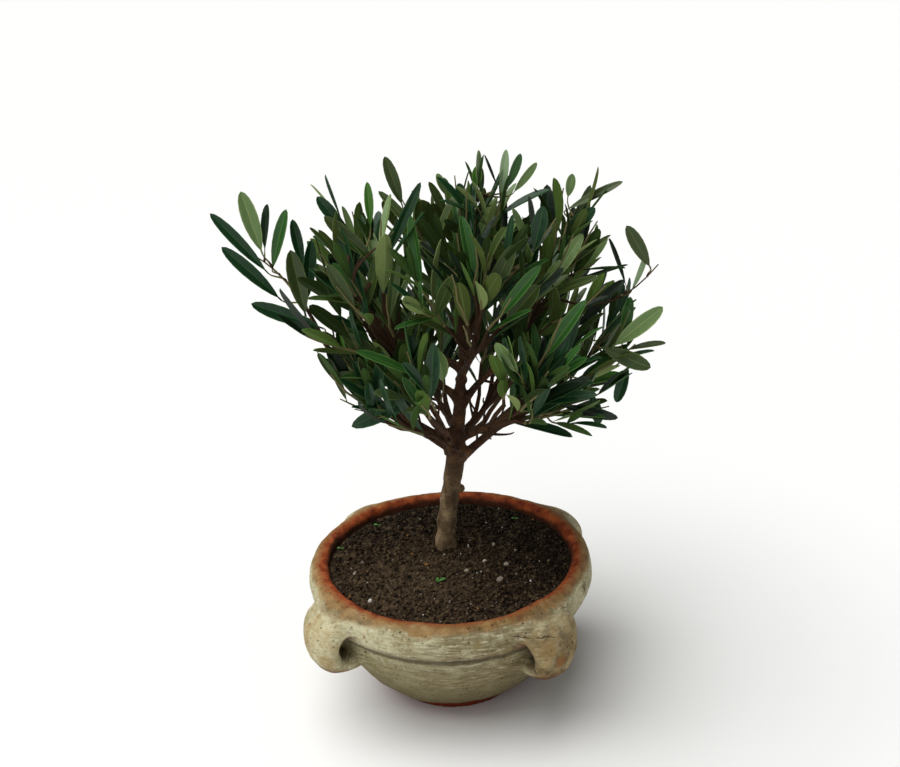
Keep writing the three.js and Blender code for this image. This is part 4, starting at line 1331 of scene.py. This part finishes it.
    def grow_side_twig(self, shoot, tint, room):
        start, ahead = shoot[SIDE_TWIG_STEP:SIDE_TWIG_STEP + 2]
        way = unit(ahead - start)
        lean = math.radians(self.around(SIDE_TWIG_LEAN, SHOOT_LEAN_SPREAD))
        side = leaning(way, lean, self.any_turn())
        twig = self.find_shoot(start, way, start, side, self.between(SIDE_TWIG_LENGTH), room)
        if twig is not None:
            self.lay_twig(twig, SIDE_TWIG_RADIUS, woody=0.2)
            self.add_leaves(twig, FIRST_LEAVES, tint, room, LEAF_SPACING)

    def grow_bare_twigs(self):
        """Short twigs on the limb that have lost their leaves."""
        for share in BARE_TWIGS:
            branch, along = on_line(self.spine, self.limb_length * self.around(share, BARE_TWIG_SPREAD))
            lean = math.radians(self.around(BARE_TWIG_LEAN, BARE_TWIG_LEAN_SPREAD))
            way = leaning(along, lean, self.any_turn())
            end = branch + unit(way + UP * BARE_TWIG_LIFT) * self.between(BARE_TWIG_LENGTH)
            line = cubic((branch, branch + way * 5, end - along * 4, end), np.linspace(0, 1, 6))
            self.lay_twig(line, BARE_TWIG_RADIUS, woody=1)


# Each tint: upper side, under side, midrib, share of the sprays
TINTS = (
    ("#071c08", "#263612", "#233e19", 0.25),
    ("#11381a", "#364d1f", "#345c30", 0.28),
    ("#27521c", "#4e652b", "#4f7534", 0.2),
    ("#647f48", "#7d8e55", "#889b5f", 0.08),
    ("#8aa57a", "#96a78a", "#a3b590", 0.0),
    ("#35471a", "#495727", "#586434", 0.15),
    ("#467b28", "#67853a", "#739a48", 0.04),
)
TINT_SHARES = [tint[-1] for tint in TINTS]


def make_crown():
    """Leaves and twigs of each mass. The leaves are leathery: a waxy, dark upper side and a dull, felted
    under side, with a pale midrib and edge."""
    finishes = []
    for i, (upper, under, rib, _) in enumerate(TINTS):
        finishes.append(plain_growth(f"olive leaf upper {i + 1}", upper, 0.42, 6, 0.7, gloss=0.35))
        finishes.append(plain_growth(f"olive leaf under {i + 1}", under, 0.8, 6, 0.6, gloss=0.1))
        finishes.append(plain_growth(f"olive leaf midrib {i + 1}", rib, 0.6, 1.0, 0.05))
        finishes.append(plain_growth(f"olive leaf edge {i + 1}", rib, 0.6, 1.0, 0.05))
    wood = plain_growth("olive twig, woody", "#3c2613", 0.85, 1.5, 0.3)
    green = plain_growth("olive shoot, young", "#6d6640", 0.75, 1.5, 0.2)
    for mass in MASSES:
        limb = next(limb for limb in LIMBS.values() if limb.mass is mass)
        grown = Foliage(mass, limb)
        grown.leaves.make(f"leaves_{mass.name}", finishes, "leaf", f"foliage_{mass.name}", sharp=50)
        grown.twigs.make(f"twigs_{mass.name}", [wood, green], "leaf", f"foliage_{mass.name}", sharp=60)


# Stage


LIGHTS = (  # turn from the camera's right, rise, softness and strength
    ("overhead", 178, 69, 65, 3.05),
    ("front", -115, 30, 60, 0.65),
)


def set_camera():
    """The photograph's view: 50 mm lens on a 36 mm wide frame, a metre away and looking down a little."""
    distance, elevation, roll = 1.0, math.radians(22.2), math.radians(-3)
    aim = Vector((0.008, 0.003, 0.268))
    back = Vector((0, -math.cos(elevation), math.sin(elevation)))
    right = Vector((1, 0, 0))
    up = right.cross(-back)
    level = Matrix((right, up, back)).transposed().to_4x4()
    stand = Matrix.Translation(aim + back * distance) @ level @ Matrix.Rotation(roll, 4, "Z")
    data = bpy.data.cameras.new("camera")
    data.lens = 50
    data.sensor_width = 36
    camera = bpy.data.objects.new("camera", data)
    camera.matrix_world = Matrix.Rotation(math.radians(TREE_TURN), 4, "Z") @ stand
    bpy.context.scene.collection.objects.link(camera)
    bpy.context.scene.camera = camera


def set_stage():
    """A pale floor under a large soft light, in an even pale room."""
    half = 30.0
    mesh = bpy.data.meshes.new("floor")
    corners = [(-half, -half, 0), (half, -half, 0), (half, half, 0), (-half, half, 0)]
    mesh.from_pydata(corners, [], [(0, 1, 2, 3)])
    floor = bpy.data.objects.new("floor", mesh)
    mesh.materials.append(plain_growth("studio floor", "#f4f4f2", 0.9, 900, 0))
    bpy.context.scene.collection.objects.link(floor)
    world = bpy.data.worlds.new("studio")
    world.use_nodes = True
    world.node_tree.nodes["Background"].inputs["Color"].default_value = (1, 1, 1, 1)
    world.node_tree.nodes["Background"].inputs["Strength"].default_value = 0.13
    bpy.context.scene.world = world
    for name, turn, rise, softness, strength in LIGHTS:
        data = bpy.data.lights.new(name, "SUN")
        data.angle = math.radians(softness)
        data.energy = strength
        light = bpy.data.objects.new(name, data)
        light.rotation_mode = "QUATERNION"
        light.rotation_quaternion = Vector(direction(turn + TREE_TURN, rise)).to_track_quat("Z", "Y")
        bpy.context.scene.collection.objects.link(light)
    bpy.context.scene.view_settings.view_transform = "Standard"


set_camera()
set_stage()
make_bowl(limewash())
CRUMBS = [
    potting_soil("potting soil", "#21170f", "#3f3122", "#6b5942"),
    potting_soil("potting soil, peat", "#140d08", "#2a1e13", "#46372a"),
    potting_soil("potting soil, loam", "#3b2d1f", "#604e38", "#8a765a"),
]
make_soil_bed(CRUMBS[0])
make_soil_litter(
    CRUMBS,
    [
        plain_growth("perlite grit", "#c6c0b4", 0.9, 0.8, 0.3),
        plain_growth("limestone grit", "#978d7d", 0.9, 0.8, 0.3),
        plain_growth("flint grit", "#6d6459", 0.8, 0.8, 0.3),
    ],
    plain_growth("dry leaf", "#8a5f28", 0.8, 0.8, 0.2),
    plain_growth("seedling green", "#4b7c38", 0.6, 0.8, 0.2),
)
make_bark(olive_bark())
make_crown()
